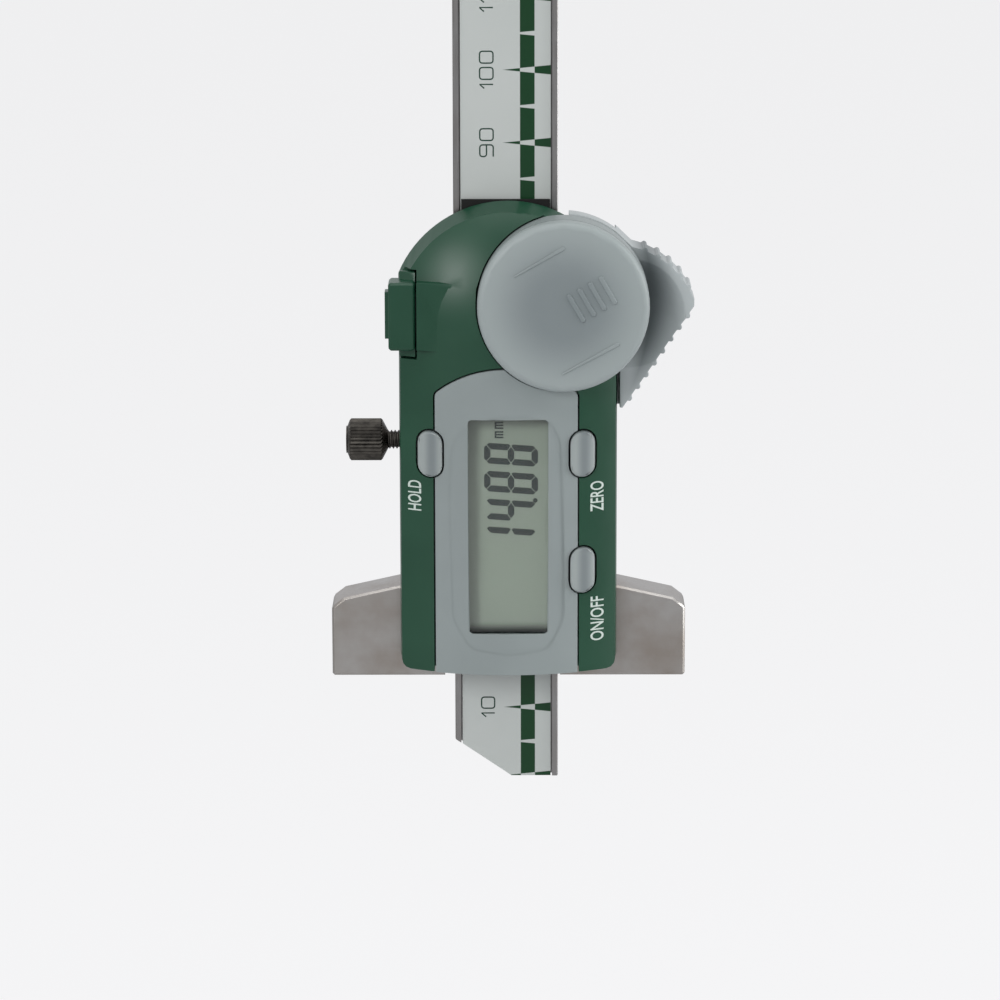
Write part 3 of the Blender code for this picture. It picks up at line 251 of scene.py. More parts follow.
BRIDGE_STEEL = ground_steel("ground_bridge_steel", "a8a6a3", "958e87", 0.34, "X")
BEAM_STEEL = ground_steel("ground_beam_steel", "8f8e8d", "858280", 0.32, "Z")
PLATE_STEEL = ground_steel("ground_plate_steel", "a3a2a0", "8f8c88", 0.34, "X")
print("steel:", BRIDGE_STEEL.name, BEAM_STEEL.name, PLATE_STEEL.name)

# %% [markdown]
# ### Small metal parts
# Screws, springs and contacts differ in colour and in how smooth they are, and share one recipe: a plain
# metal with faint uneven roughness. Black oxide is a thin dark layer on steel, so its base colour is
# nearly black, and its worn crests let grey steel show.

# %% Small metal parts
PATCH = 1.2 * MM


def plain_metal(name, clean, dull, roughness):
    material, tree, place = start_finish(name, roughness, 1.0)
    patches = add(tree, NOISE, {"Vector": place, "Scale": 1 / PATCH, "Detail": 3.0})
    share = add(tree, RANGE, {"Value": patches, "From Min": 0.35, "From Max": 0.7})
    tint = add(tree, MIX, {0: share, 6: colour(clean), 7: colour(dull)}, 2, data_type="RGBA")
    spread = add(tree, RANGE, {"Value": patches, "From Min": 0.3, "From Max": 0.7,
                               "To Min": roughness - 0.05, "To Max": roughness + 0.07})
    return feed(material, Base_Color=tint, Roughness=spread)


BLACK_OXIDE = plain_metal("black_oxide_steel", "3b3936", "55524d", 0.36)
SCREW_STEEL = plain_metal("turned_screw_steel", "b9b7b4", "a3a09c", 0.30)
SPRING_STEEL = plain_metal("rolled_spring_steel", "a9a7a3", "97948f", 0.28)
BRASS = plain_metal("turned_brass", "c9a85f", "b08f4c", 0.32)
NICKEL = plain_metal("nickel_plated_steel", "c9c8c4", "b9b6b0", 0.22)
GOLD = plain_metal("gold_plated_contact", "dcb869", "cda552", 0.24)
print("metals:", BLACK_OXIDE.name, SCREW_STEEL.name, BRASS.name, NICKEL.name, GOLD.name)

# %% [markdown]
# ### Printed label
# The label is a satin polyester film with a dark green stripe. Every 10 mm a long wedge points at the
# mark: green outside the stripe and left white inside it. Every 5 mm a short white wedge crosses the
# stripe. Print like this is exact, so it is worked out from the coordinates with a few Math nodes:
# the distance to the nearest mark is compared with a half width that grows along the wedge.

# %% Printed label
TIP_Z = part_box("main_beam")[0].z
BEAM_MIDDLE_X = -0.3 * MM
STRIPE = (2.0 * MM, 4.0 * MM)
LONG_WEDGE = ((-0.385 * MM, 0.0), (6.3 * MM, 0.66 * MM))
SHORT_WEDGE = ((STRIPE[0], 0.14 * MM), (STRIPE[1], 0.33 * MM))
INK_EDGE = 0.03 * MM
MARKS = 10 * MM


def wedge(tree, across, along, shift, start, end):
    """1 inside the wedges, one at each mark, from a start (place, half width) to an end."""
    moved = add(tree, MATHS, {0: along, 1: shift}, operation="ADD")
    nearest = add(tree, MATHS, {0: moved, 1: MARKS / 2}, operation="PINGPONG")
    half = add(tree, RANGE, {"Value": across, "From Min": start[0], "From Max": end[0],
                             "To Min": start[1], "To Max": end[1]}, clamp=False)
    spare = add(tree, MATHS, {0: half, 1: nearest}, operation="SUBTRACT")
    inside = add(tree, RANGE, {"Value": spare, "From Min": -INK_EDGE, "From Max": INK_EDGE})
    begun = add(tree, MATHS, {0: across, 1: start[0]}, operation="GREATER_THAN")
    return add(tree, MATHS, {0: inside, 1: begun}, operation="MULTIPLY")


def printed_label(name):
    material, tree, place = start_finish(name, 0.34, 0.0, 0.3)
    film = add(tree, NOISE, {"Vector": place, "Scale": 1 / (14 * MM), "Detail": 2.0})
    paper = add(tree, MIX, {0: film, 6: colour("b8bebb"), 7: colour("c5c9c7")}, 2, data_type="RGBA")
    x = add(tree, "ShaderNodeSeparateXYZ", {0: place}, "X")
    z = add(tree, "ShaderNodeSeparateXYZ", {0: place}, "Z")
    across = add(tree, MATHS, {0: x, 1: BEAM_MIDDLE_X}, operation="SUBTRACT")
    along = add(tree, MATHS, {0: z, 1: TIP_Z}, operation="SUBTRACT")
    right = add(tree, RANGE, {"Value": across, "From Min": STRIPE[0] - INK_EDGE,
                              "From Max": STRIPE[0] + INK_EDGE})
    left = add(tree, RANGE, {"Value": across, "From Min": STRIPE[1] + INK_EDGE,
                             "From Max": STRIPE[1] - INK_EDGE})
    stripe = add(tree, MATHS, {0: right, 1: left}, operation="MULTIPLY")
    long_wedge = wedge(tree, across, along, 0.0, *LONG_WEDGE)
    short_wedge = wedge(tree, across, along, MARKS / 2, *SHORT_WEDGE)
    unlike = add(tree, MATHS, {0: stripe, 1: long_wedge}, operation="SUBTRACT")
    crossed = add(tree, MATHS, {0: unlike}, operation="ABSOLUTE")
    notch = add(tree, MATHS, {0: short_wedge, 1: stripe}, operation="MULTIPLY")
    inked = add(tree, MATHS, {0: crossed, 1: notch}, operation="SUBTRACT", use_clamp=True)
    tint = add(tree, MIX, {0: inked, 6: paper, 7: colour("09381b")}, 2, data_type="RGBA")
    satin = add(tree, NOISE, {"Vector": place, "Scale": 1 / (0.25 * MM), "Detail": 2.0})
    spread = add(tree, RANGE, {"Value": satin, "From Min": 0.3, "From Max": 0.7,
                               "To Min": 0.30, "To Max": 0.38})
    return feed(material, Base_Color=tint, Roughness=spread)


LABEL_FILM = printed_label("printed_polyester_film")
print("label finish:", LABEL_FILM.name, "tip at", round(TIP_Z / MM, 2), "mm")

# %% [markdown]
# ### Display
# A reflective liquid crystal display has a pale grey-green ground with a very fine sparkle from its rear
# polariser, and its segments are dark blue-grey. Its lower end turns nearly black with a soft edge: partly
# the display's dark border, partly painted shade and painted reflection of the window's lower wall. The
# moulded lens in front is clear acrylic. A lens that only bends light would keep the lamps from the display
# behind it, so rays that ask for shadow pass it.

# %% Display finishes
MASK_AND_SHADE_EDGE = (7.7 * MM, 9.6 * MM)


def display_ground(name):
    material, tree, place = start_finish(name, 0.30, 0.0, 0.3)
    sparkle = add(tree, NOISE, {"Vector": place, "Scale": 1 / (0.12 * MM), "Detail": 2.0})
    drift = add(tree, NOISE, {"Vector": place, "Scale": 1 / (16 * MM), "Detail": 1.0})
    ground = add(tree, MIX, {0: drift, 6: colour("7e857c"), 7: colour("848a82")}, 2, data_type="RGBA")
    tint = add(tree, MIX, {0: sparkle, 6: ground, 7: colour("8b9188")}, 2, data_type="RGBA")
    z = add(tree, "ShaderNodeSeparateXYZ", {0: place}, "Z")
    # The ground darkens towards the lower end: partly the display's dark border, partly painted shade from
    # the window's lower wall.
    clear = add(tree, RANGE, {"Value": z, "From Min": MASK_AND_SHADE_EDGE[0], "From Max": MASK_AND_SHADE_EDGE[1]},
                interpolation_type="SMOOTHERSTEP")
    masked_and_shaded = add(tree, MIX, {0: clear, 6: colour("101414"), 7: tint}, 2, data_type="RGBA")
    return feed(material, Base_Color=masked_and_shaded)


def clear_lens(name):
    material, tree, place = start_finish(name, 0.03, 0.0, 0.25)
    shader = tree.nodes["Principled BSDF"]
    shader.inputs["Transmission Weight"].default_value = 1.0
    shader.inputs["IOR"].default_value = 1.49
    shader.inputs["Base Color"].default_value = colour("f2f6f3")
    shadow = add(tree, "ShaderNodeLightPath", {}, "Is Shadow Ray")
    passing = add(tree, "ShaderNodeBsdfTransparent", {"Color": colour("f2f6f3")})
    surface = add(tree, "ShaderNodeMixShader", {0: shadow, 1: shader.outputs[0], 2: passing})
    tree.links.new(surface, tree.nodes["Material Output"].inputs["Surface"])
    haze = add(tree, NOISE, {"Vector": place, "Scale": 1 / (6 * MM), "Detail": 3.0})
    spread = add(tree, RANGE, {"Value": haze, "From Min": 0.3, "From Max": 0.7,
                               "To Min": 0.02, "To Max": 0.05})
    return feed(material, Roughness=spread)


def plain_coat(name, light, dark, roughness, size):
    """A nearly even colour with a fine mottle, for inks, rubber, resin and lacquer."""
    material, tree, place = start_finish(name, roughness, 0.0, 0.3)
    mottle = add(tree, NOISE, {"Vector": place, "Scale": 1 / size, "Detail": 3.0})
    tint = add(tree, MIX, {0: mottle, 6: colour(light), 7: colour(dark)}, 2, data_type="RGBA")
    spread = add(tree, RANGE, {"Value": mottle, "From Min": 0.3, "From Max": 0.7,
                               "To Min": roughness - 0.05, "To Max": roughness + 0.05})
    relief = add(tree, "ShaderNodeBump", {"Height": mottle, "Distance": size / 40, "Strength": 0.4})
    return feed(material, Base_Color=tint, Roughness=spread, Normal=relief)


DISPLAY_GROUND = display_ground("reflective_display_ground")
LENS = clear_lens("clear_acrylic_lens")
SEGMENT_INK = plain_coat("liquid_crystal_segments", "121c1c", "182323", 0.32, 0.2 * MM)
LABEL_INK = plain_coat("label_number_ink", "1d3a30", "254438", 0.36, 0.2 * MM)
PAD_PRINT = plain_coat("white_pad_print", "cfdbd4", "c3cfc8", 0.50, 0.2 * MM)
SOLDER_MASK = plain_coat("green_solder_mask", "0f4a2c", "15532f", 0.35, 0.8 * MM)
EPOXY = plain_coat("moulded_black_epoxy", "161616", "1f1f1e", 0.45, 0.3 * MM)
RUBBER = plain_coat("black_rubber", "0c0c0c", "131312", 0.75, 0.2 * MM)
print("display:", DISPLAY_GROUND.name, LENS.name, SEGMENT_INK.name)

# %% [markdown]
# ## Finishes for the pieces that keep their CAD shape
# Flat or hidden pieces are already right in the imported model: the label, the lens, the display panel, the
# strips, the board and what is on it, the cell and its contacts. They only get their finish.

# %% Finishes for the CAD pieces
KEPT = {
    LABEL_FILM: ["scale_label"],
    SOLDER_MASK: ["scale_strip", "main_pcb"],
    DISPLAY_GROUND: ["lcd_panel"],
    LENS: ["display_window"],
    RUBBER: ["upper_wiper", "lower_wiper", "zebra_strip_left", "zebra_strip_right"],
    EPOXY: ["main_chip", "port_connector"],
    NICKEL: ["battery", "quartz_crystal", "key_switch_hold", "key_switch_zero", "key_switch_power"],
    SPRING_STEEL: ["gib_strip", "battery_contact_positive", "battery_contact_negative"],
    GOLD: ["port_contact_1", "port_contact_2", "port_contact_3", "port_contact_4"],
    BRASS: ["lock_pad"],
    GREY_ABS: ["battery_holder"],
    SCREW_STEEL: ["gib_screw_lower", "gib_screw_upper"],
}


def paint(piece, finish):
    piece.data.materials.clear()
    piece.data.materials.append(finish)
    return piece


for finish, nodes in KEPT.items():
    for node in nodes:
        paint(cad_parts[node], finish)
print(sum(len(nodes) for nodes in KEPT.values()), "CAD pieces have their finish")

# %% [markdown]
# ## Helpers for shapes
# A CAD node's mesh is loose triangles. A copy of it is a good start for a detailed piece: its points are
# merged, flat neighbours become one face, and then a Bevel modifier rounds the edges that a mould or a
# tool would leave round. Operators act on all that is selected, so one helper selects the piece alone.

# %% Helpers for shapes
BY_EDGE, BY_FACE = (False, True, False), (False, False, True)
MERGE, FINE_MERGE = 0.06 * MM, 0.01 * MM
FLAT = math.radians(0.6)


def only(*pieces):
    """Deselect everything, then select these pieces, the last one active."""
    bpy.ops.object.select_all(action="DESELECT")
    for piece in pieces:
        piece.select_set(True)
    VIEW.objects.active = pieces[-1]


def pick_faces(piece, wanted):
    """Select only the faces that pass a test, ready for edit mode in face mode."""
    only(piece)
    SCENE.tool_settings.mesh_select_mode = BY_FACE
    mesh = piece.data
    mesh.vertices.foreach_set("select", [False] * len(mesh.vertices))
    mesh.edges.foreach_set("select", [False] * len(mesh.edges))
    mesh.polygons.foreach_set("select", [bool(wanted(face)) for face in mesh.polygons])


def in_edit(piece, operator, **settings):
    """Run one operator of edit mode on the whole of a piece."""
    only(piece)
    bpy.ops.object.mode_set(mode="EDIT")
    bpy.ops.mesh.select_all(action="SELECT")
    operator(**settings)
    bpy.ops.object.mode_set(mode="OBJECT")
    return piece


def split_faces(piece):
    return in_edit(piece, bpy.ops.mesh.quads_convert_to_tris, quad_method="BEAUTY", ngon_method="BEAUTY")


def face_outward(piece):
    return in_edit(piece, bpy.ops.mesh.normals_make_consistent, inside=False)


def from_node(node, name, finish, merge=MERGE, split=True):
    """A piece that starts as a copy of a CAD node, merged, and split into clean triangles."""
    piece = place_new(name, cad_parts[node].data.copy())
    only(piece)
    if piece.data.has_custom_normals:
        bpy.ops.mesh.customdata_custom_splitnormals_clear()
    bpy.ops.object.mode_set(mode="EDIT")
    bpy.ops.mesh.select_all(action="SELECT")
    bpy.ops.mesh.remove_doubles(threshold=merge)
    bpy.ops.mesh.dissolve_limited(angle_limit=FLAT)
    bpy.ops.object.mode_set(mode="OBJECT")
    return paint(split_faces(piece) if split else piece, finish)


def round_edges(piece, width, segments=2, angle=30):
    """Round the edges sharper than an angle, and shade the rest smooth."""
    bevel = piece.modifiers.new("edges", "BEVEL")
    bevel.width = width
    bevel.segments = segments
    bevel.limit_method = "ANGLE"
    bevel.angle_limit = math.radians(angle)
    bevel.use_clamp_overlap = False
    only(piece)
    bpy.ops.object.modifier_apply(modifier=bevel.name)
    return smooth(piece)


def smooth(piece, angle=32):
    only(piece)
    bpy.ops.object.shade_smooth_by_angle(angle=math.radians(angle))
    normals = piece.modifiers.new("normals", "WEIGHTED_NORMAL")
    normals.keep_sharp = True
    bpy.ops.object.modifier_apply(modifier=normals.name)
    return piece


def plate(name, outline, back_y, thickness):
    """A plate whose outline is given as (X, Z), from a back plane towards the front."""
    bpy.ops.object.select_all(action="DESELECT")
    bpy.ops.mesh.primitive_circle_add(vertices=len(outline), fill_type="NGON")
    piece = VIEW.objects.active
    piece.name = name
    for vertex, (x, z) in zip(piece.data.vertices, outline):
        vertex.co = (x, back_y, z)
    in_edit(piece, bpy.ops.mesh.extrude_region_move, TRANSFORM_OT_translate={"value": (0, -thickness, 0)})
    return face_outward(piece)


def rounded(points, closed, radius, steps=4):
    """A line through points, its corners replaced by small arcs."""
    path = []
    count = len(points)
    for index, point in enumerate(points):
        here = Vector(point)
        if not closed and index in (0, count - 1):
            path.append(here)
            continue
        before = (Vector(points[index - 1]) - here).normalized()
        after = (Vector(points[(index + 1) % count]) - here).normalized()
        for step in range(steps + 1):
            share = step / steps
            path.append(here + before * radius * (1 - share) ** 2 + after * radius * share ** 2)
    return path


def boolean(piece, tool, operation="DIFFERENCE"):
    """Cut a tool out of a piece, or join it, and remove the tool."""
    cut = piece.modifiers.new("cut", "BOOLEAN")
    cut.object = tool
    cut.operation = operation
    cut.solver = "EXACT"
    only(piece)
    bpy.ops.object.modifier_apply(modifier=cut.name)
    bpy.data.objects.remove(tool, do_unlink=True)
    return piece


def joined(pieces, name, finish):
    """Join pieces to one, with a name and a finish."""
    only(*pieces)
    bpy.ops.object.join()
    pieces[-1].name = name
    return paint(pieces[-1], finish)


def settle(piece, body, slot, *nodes):
    """Attach a piece to the body it moves with, and hide the CAD nodes that it stands for; the slot is not
    used.
    """
    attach(piece, body)
    if nodes:
        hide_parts(*nodes)
    print(piece.name, len(piece.data.polygons), "faces, on", body)
    return piece


# %% [markdown]
# ## Bridge and beam
# The bridge is ground from one block, and its edges are broken with a stone, so a narrow bright line runs
# along each. The beam is a ruled bar with two rails beside the label. Both start from their CAD shape.

# %% Bridge and beam
BRIDGE_EDGE = 0.035 * MM
STOP_EDGE = 0.12 * MM

bridge = round_edges(from_node("slider_frame", "steel_bridge", BRIDGE_STEEL), BRIDGE_EDGE)
settle(bridge, "slider", "ground_steel", "slider_frame")
beam = smooth(from_node("main_beam", "ruled_beam", BEAM_STEEL))
settle(beam, "beam", "ground_steel", "main_beam")
stop_plate = round_edges(from_node("beam_stop_plate", "end_stop", PLATE_STEEL), STOP_EDGE)
settle(stop_plate, "beam", "ground_steel", "beam_stop_plate")

# %% [markdown]
# ## Housing, surround and trim
# Moulded pieces have small round edges everywhere, about 0.15 to 0.3 mm. They catch the light as thin
# lines round the face, the keys and the port, and those lines are what makes plastic look moulded.
#
# The front is crowned: a vertical cylinder below and a ball at the domed top. The model's faces only come
# near to it, and a highlight shows every one. The points of the crown therefore get the direction that
# the true surface has there. Rounding an edge can push a point past a long line on the crown, so that a
# thin face folds over its neighbour. Such a fold is merged with the neighbour and split anew.

# %% True crown
CROWN_RADIUS = 27.0 * MM
CROWN_AXIS_Y = 12.6 * MM
DOME_MIDDLE_Z = 50.9 * MM
NEAR_CROWN = 0.06 * MM
FOLD_LENGTH = 3 * MM


def from_crown_axis(point):
    """The way from the middle of the cylinder, or of the ball above it, to a point."""
    return Vector((point.x, point.y - CROWN_AXIS_Y, max(point.z - DOME_MIDDLE_Z, 0.0)))


def on_crown(mesh, face, *radii):
    """Whether all points of a face lie on a crown with one of these radii."""
    lengths = [from_crown_axis(mesh.vertices[index].co).length for index in face.vertices]
    return all(min(abs(length - radius) for radius in radii) < NEAR_CROWN for length in lengths)


def true_crown(piece, *radii):
    """Give the points that lie on a crown the direction of the true surface."""
    mesh = piece.data
    directions = [corner.vector.copy() for corner in mesh.corner_normals]
    changed = 0
    for face in mesh.polygons:
        if on_crown(mesh, face, *radii) and face.normal.dot(from_crown_axis(face.center)) > 0:
            for loop in face.loop_indices:
                point = mesh.vertices[mesh.loops[loop].vertex_index].co
                directions[loop] = from_crown_axis(point).normalized()
            changed += 1
    mesh.normals_split_custom_set(directions)
    print(piece.name, changed, "faces on the crown")
    return piece


def unfold(piece, radius):
    """Merge each long fold on the crown with its neighbour and split the result anew."""
    mesh = piece.data
    pick_faces(piece, lambda face: False)
    SCENE.tool_settings.mesh_select_mode = BY_EDGE
    edges = {edge.key: edge for edge in mesh.edges}
    folds = 0
    for face in mesh.polygons:
        if on_crown(mesh, face, radius) and face.normal.dot(from_crown_axis(face.center)) < 0:
            sides = {key: mesh.vertices[key[0]].co - mesh.vertices[key[1]].co for key in face.edge_keys}
            longest = max(sides, key=lambda key: sides[key].length)
            edges[longest].select = sides[longest].length > FOLD_LENGTH
            folds += edges[longest].select
    bpy.ops.object.mode_set(mode="EDIT")
    bpy.ops.mesh.dissolve_edges(use_verts=False)
    bpy.ops.object.mode_set(mode="OBJECT")
    print(piece.name, folds, "folds")
    return smooth(split_faces(piece))


# %% Housing
HOUSING_MERGE = 0.16 * MM
HOUSING_EDGE = 0.12 * MM

housing = round_edges(from_node("housing_front", "green_housing", GREEN_ABS, HOUSING_MERGE), HOUSING_EDGE)
true_crown(unfold(housing, CROWN_RADIUS), CROWN_RADIUS)
settle(housing, "slider", "green_abs", "housing_front")

# %% [markdown]
# The surround's window has small round corners, and round the window its face dips by 0.2 mm behind a
# soft crease. The crease lies between two outlines, one inside the other. Each is cut into the face as a
# line: a tube with that outline is joined to the piece, intersected with it and deleted again. Then all
# the points inside the inner outline move back along the crown.

# %% Display surround
SURROUND_CROWN = 27.15 * MM
WINDOW_X = 5.53 * MM
WINDOW_Z = (7.97 * MM, 38.15 * MM)
SAME_PLACE = 0.02 * MM
DISH = [(-7.0, 36.4), (-8.0, 33.9), (-8.3, 26.8), (-8.05, 18.4), (-7.8, 9.85), (-5.3, 5.7), (0.2, 4.85),
        (5.75, 5.7), (7.8, 9.8), (7.95, 20.0), (7.4, 35.3), (6.0, 38.0), (2.2, 38.95), (-1.8, 38.8)]
DISH_CORNER = 1.2 * MM
DISH_DEPTH = 0.2 * MM
CREASE = 0.25 * MM
CREASE_SPARE = 0.03 * MM
FRONT_SKIN = 0.2 * MM
TUBE_FRONT_Y = -16 * MM
TUBE_LENGTH = 2.9 * MM
WINDOW_CORNER = 0.6 * MM
SURROUND_EDGE = 0.1 * MM


def dish_outline(inset):
    """The dish's outline in metres, its corners rounded, moved inwards by an inset."""
    path = rounded([(x * MM, z * MM) for x, z in DISH], True, DISH_CORNER)
    middle = sum(path, Vector((0, 0))) / len(path)
    return [point - (point - middle).normalized() * inset for point in path]


def trace(piece, outline):
    """Cut an outline into the front as a line, with a tube that goes in and is deleted again."""
    bpy.ops.object.select_all(action="DESELECT")
    bpy.ops.mesh.primitive_circle_add(vertices=len(outline), fill_type="NOTHING")
    tube = VIEW.objects.active
    for vertex, (x, z) in zip(tube.data.vertices, outline):
        vertex.co = (x, TUBE_FRONT_Y, z)
    in_edit(tube, bpy.ops.mesh.extrude_edges_move, TRANSFORM_OT_translate={"value": (0, TUBE_LENGTH, 0)})
    tube.data.materials.append(GREY_ABS)
    tube.data.materials.append(GREEN_ABS)
    tube.data.polygons.foreach_set("material_index", [1] * len(tube.data.polygons))
    only(tube, piece)
    bpy.ops.object.join()
    pick_faces(piece, lambda face: face.material_index == 1)
    bpy.ops.object.mode_set(mode="EDIT")
    bpy.ops.mesh.intersect(mode="SELECT_UNSELECT", separate_mode="NONE", solver="EXACT")
    bpy.ops.object.mode_set(mode="OBJECT")
    pick_faces(piece, lambda face: face.material_index == 1)
    bpy.ops.object.mode_set(mode="EDIT")
    bpy.ops.mesh.delete(type="FACE")
    bpy.ops.mesh.select_all(action="SELECT")
    bpy.ops.mesh.remove_doubles(threshold=FINE_MERGE)
    bpy.ops.object.mode_set(mode="OBJECT")
    return paint(piece, GREY_ABS)


def round_window(piece, radius):
    """Round the window's four corners, whose edges run from the front to the back."""
    pick_faces(piece, lambda face: False)
    SCENE.tool_settings.mesh_select_mode = BY_EDGE
    points = piece.data.vertices
    for edge in piece.data.edges:
        ends = [points[index].co for index in edge.vertices]
        beside = all(abs(abs(end.x) - WINDOW_X) < SAME_PLACE for end in ends)
        level = any(all(abs(end.z - z) < SAME_PLACE for end in ends) for z in WINDOW_Z)
        edge.select = beside and level and abs(ends[0].y - ends[1].y) > 0.1 * MM
    print("corner edges", sum(edge.select for edge in piece.data.edges))
    bpy.ops.object.mode_set(mode="EDIT")
    bpy.ops.mesh.bevel(offset=radius, segments=5, affect="EDGES")
    bpy.ops.object.mode_set(mode="OBJECT")
    return split_faces(piece)


def inside(outline, x, z):
    """Whether a point lies inside an outline: a line from it crosses the outline an odd number of times."""
    crossings = 0
    for one, two in zip(outline, outline[1:] + outline[:1]):
        if (one.y > z) != (two.y > z) and x < one.x + (two.x - one.x) * (z - one.y) / (two.y - one.y):
            crossings += 1
    return crossings % 2 == 1


surround = round_window(from_node("lcd_bezel", "display_surround", GREY_ABS, split=False), WINDOW_CORNER)
trace(surround, dish_outline(0.0))
trace(surround, dish_outline(CREASE))
round_edges(split_faces(surround), SURROUND_EDGE)
floor_line = dish_outline(CREASE - CREASE_SPARE)
for vertex in surround.data.vertices:
    outward = from_crown_axis(vertex.co)
    if outward.length > SURROUND_CROWN - FRONT_SKIN and inside(floor_line, vertex.co.x, vertex.co.z):
        vertex.co -= outward.normalized() * DISH_DEPTH
smooth(surround)
true_crown(surround, SURROUND_CROWN, SURROUND_CROWN - DISH_DEPTH)
settle(surround, "slider", "grey_abs", "lcd_bezel")

# %% Port cover, thumb grip and keys
PORT_EDGE, GRIP_EDGE, KEY_EDGE = 0.1 * MM, 0.15 * MM, 0.28 * MM

port_cover = round_edges(from_node("port_cover", "data_port_cover", GREEN_ABS), PORT_EDGE)
settle(port_cover, "port_cover", "green_abs", "port_cover")
grip = round_edges(from_node("thumb_grip", "ribbed_thumb_grip", GRIP_ABS), GRIP_EDGE)
settle(grip, "slider", "grey_abs", "thumb_grip")
for key in ("hold", "zero", "power"):
    key_top = round_edges(from_node(f"button_{key}", f"{key}_key", KEY_ABS), KEY_EDGE, 4)
    settle(key_top, f"key_{key}", "grey_abs", f"button_{key}")

# %% [markdown]
# The battery cap has two long low ridges and four short bars for the thumb that slides it. Each is a
# plate with a stadium's outline whose front edge is rounded. Its back half lies inside the cap.

# %% Battery cap
CAP_FACE_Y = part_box("battery_cap")[0].y
RIDGES = [((0.93, 58.34), (7.49, 62.17)), ((7.42, 44.90), (14.95, 49.02))]
RIDGE_RADII = (0.1, 0.24)
RIDGE_HEIGHT, RIDGE_EDGE = 0.16 * MM, 0.07 * MM
BAR_MIDDLE = Vector((11.4, 55.2))
BAR_LENGTH, BAR_PITCH, BAR_RADIUS = 4.4, 1.65, 0.36
BAR_HEIGHT, BAR_EDGE = 0.24 * MM, 0.18 * MM
IN_CAP = 0.4 * MM
BAR_ALONG = Vector((math.cos(math.radians(-60)), math.sin(math.radians(-60))))
BAR_ACROSS = Vector((math.cos(math.radians(30)), math.sin(math.radians(30))))


def stadium(start, end, start_radius, end_radius, steps=8):
    """An outline with two round ends, in metres, from places and radii in mm."""
    start, end = Vector(start), Vector(end)
    heading = math.atan2(end.y - start.y, end.x - start.x)
    points = []
    for middle, radius, turn in ((start, start_radius, 0.5), (end, end_radius, -0.5)):
        for step in range(steps + 1):
            angle = heading + math.pi * (turn + step / steps)
            points.append((middle + Vector((math.cos(angle), math.sin(angle))) * radius) * MM)
    return points


def raised(name, outline, height, edge):
    """A low plate that stands out of the cap's face, with a rounded front edge."""
    piece = plate(name, outline, CAP_FACE_Y + IN_CAP, IN_CAP + height)
    return round_edges(piece, edge, 3, 60)


cap = smooth(from_node("battery_cap", "round_battery_cap", CAP_ABS))
settle(cap, "battery_cap", "grey_abs", "battery_cap")
ridges = [raised("ridge", stadium(*ends, *RIDGE_RADII), RIDGE_HEIGHT, RIDGE_EDGE) for ends in RIDGES]
grips = []
for place in (-1.5, -0.5, 0.5, 1.5):
    middle = BAR_MIDDLE + BAR_ACROSS * BAR_PITCH * place
    half = BAR_ALONG * (BAR_LENGTH / 2 - BAR_RADIUS)
    outline = stadium(middle - half, middle + half, BAR_RADIUS, BAR_RADIUS)
    grips.append(raised("grip_bar", outline, BAR_HEIGHT, BAR_EDGE))
settle(joined(ridges + grips, "cap_ridges_and_bars", CAP_ABS), "battery_cap", "grey_abs")

# %% [markdown]
# The lock screw's shank is threaded. A thread is a small triangle carried round the screw's axis while it
# moves along it, which is what the Screw modifier does. Its pitch is 0.5 mm, as on an M3 screw.

# %% Lock screw
SCREW_AXIS = Vector((0, -3.45 * MM, 33.38 * MM))
THREAD_PITCH = 0.5 * MM
THREAD_FROM, THREAD_TURNS = -16.75 * MM, 6
THREAD_FOOT, THREAD_CREST = 1.0 * MM, 1.32 * MM
THREAD_HALF = THREAD_PITCH * 0.42
THREAD_FLAT = THREAD_HALF * 0.2

lock_screw = smooth(from_node("lock_screw", "knurled_lock_screw", BLACK_OXIDE, FINE_MERGE), 25)
settle(lock_screw, "lock_screw", "black_oxide_steel", "lock_screw")


def make_thread():
    bpy.ops.object.select_all(action="DESELECT")
    bpy.ops.mesh.primitive_circle_add(vertices=4, fill_type="NOTHING")
    thread = VIEW.objects.active
    thread.name = "lock_screw_thread"
    section = [(-THREAD_HALF, THREAD_FOOT), (-THREAD_FLAT, THREAD_CREST),
               (THREAD_FLAT, THREAD_CREST), (THREAD_HALF, THREAD_FOOT)]
    for vertex, (x, z) in zip(thread.data.vertices, section):
        vertex.co = (x, 0, z)
    thread.location = SCREW_AXIS + Vector((THREAD_FROM, 0, 0))
    turn = thread.modifiers.new("turn", "SCREW")
    turn.axis = "X"
    turn.screw_offset = THREAD_PITCH
    turn.iterations = THREAD_TURNS
    turn.steps = 24
    turn.render_steps = 24
    only(thread)
    bpy.ops.object.modifier_apply(modifier=turn.name)
    face_outward(in_edit(thread, bpy.ops.mesh.fill_holes, sides=4))
    bpy.ops.object.transform_apply(location=True, rotation=True, scale=True)
    smooth(thread, 30)
    return paint(thread, BLACK_OXIDE)


settle(make_thread(), "lock_screw", "black_oxide_steel")

# %% [markdown]
# The housing and the end stop are held by cross-recessed screws from the back. One screw of each kind is
# modelled, and the others are copies of it, moved to where their nodes are.

# %% Screws
RECESS_ARM, RECESS_WIDTH, RECESS_DEPTH = 0.62, 0.3 * MM, 0.5 * MM
SCREW_EDGE = 0.06 * MM


def cross_recess(piece, middle, face_y, arm):
    """Cut two crossed slots into a screw's face, which looks back."""
    for size in ((arm, RECESS_DEPTH, RECESS_WIDTH / 2), (RECESS_WIDTH / 2, RECESS_DEPTH, arm)):
        bpy.ops.object.select_all(action="DESELECT")
        bpy.ops.mesh.primitive_cube_add(size=2.0, location=(middle.x, face_y, middle.z), scale=size)
        boolean(piece, VIEW.objects.active)
    return piece


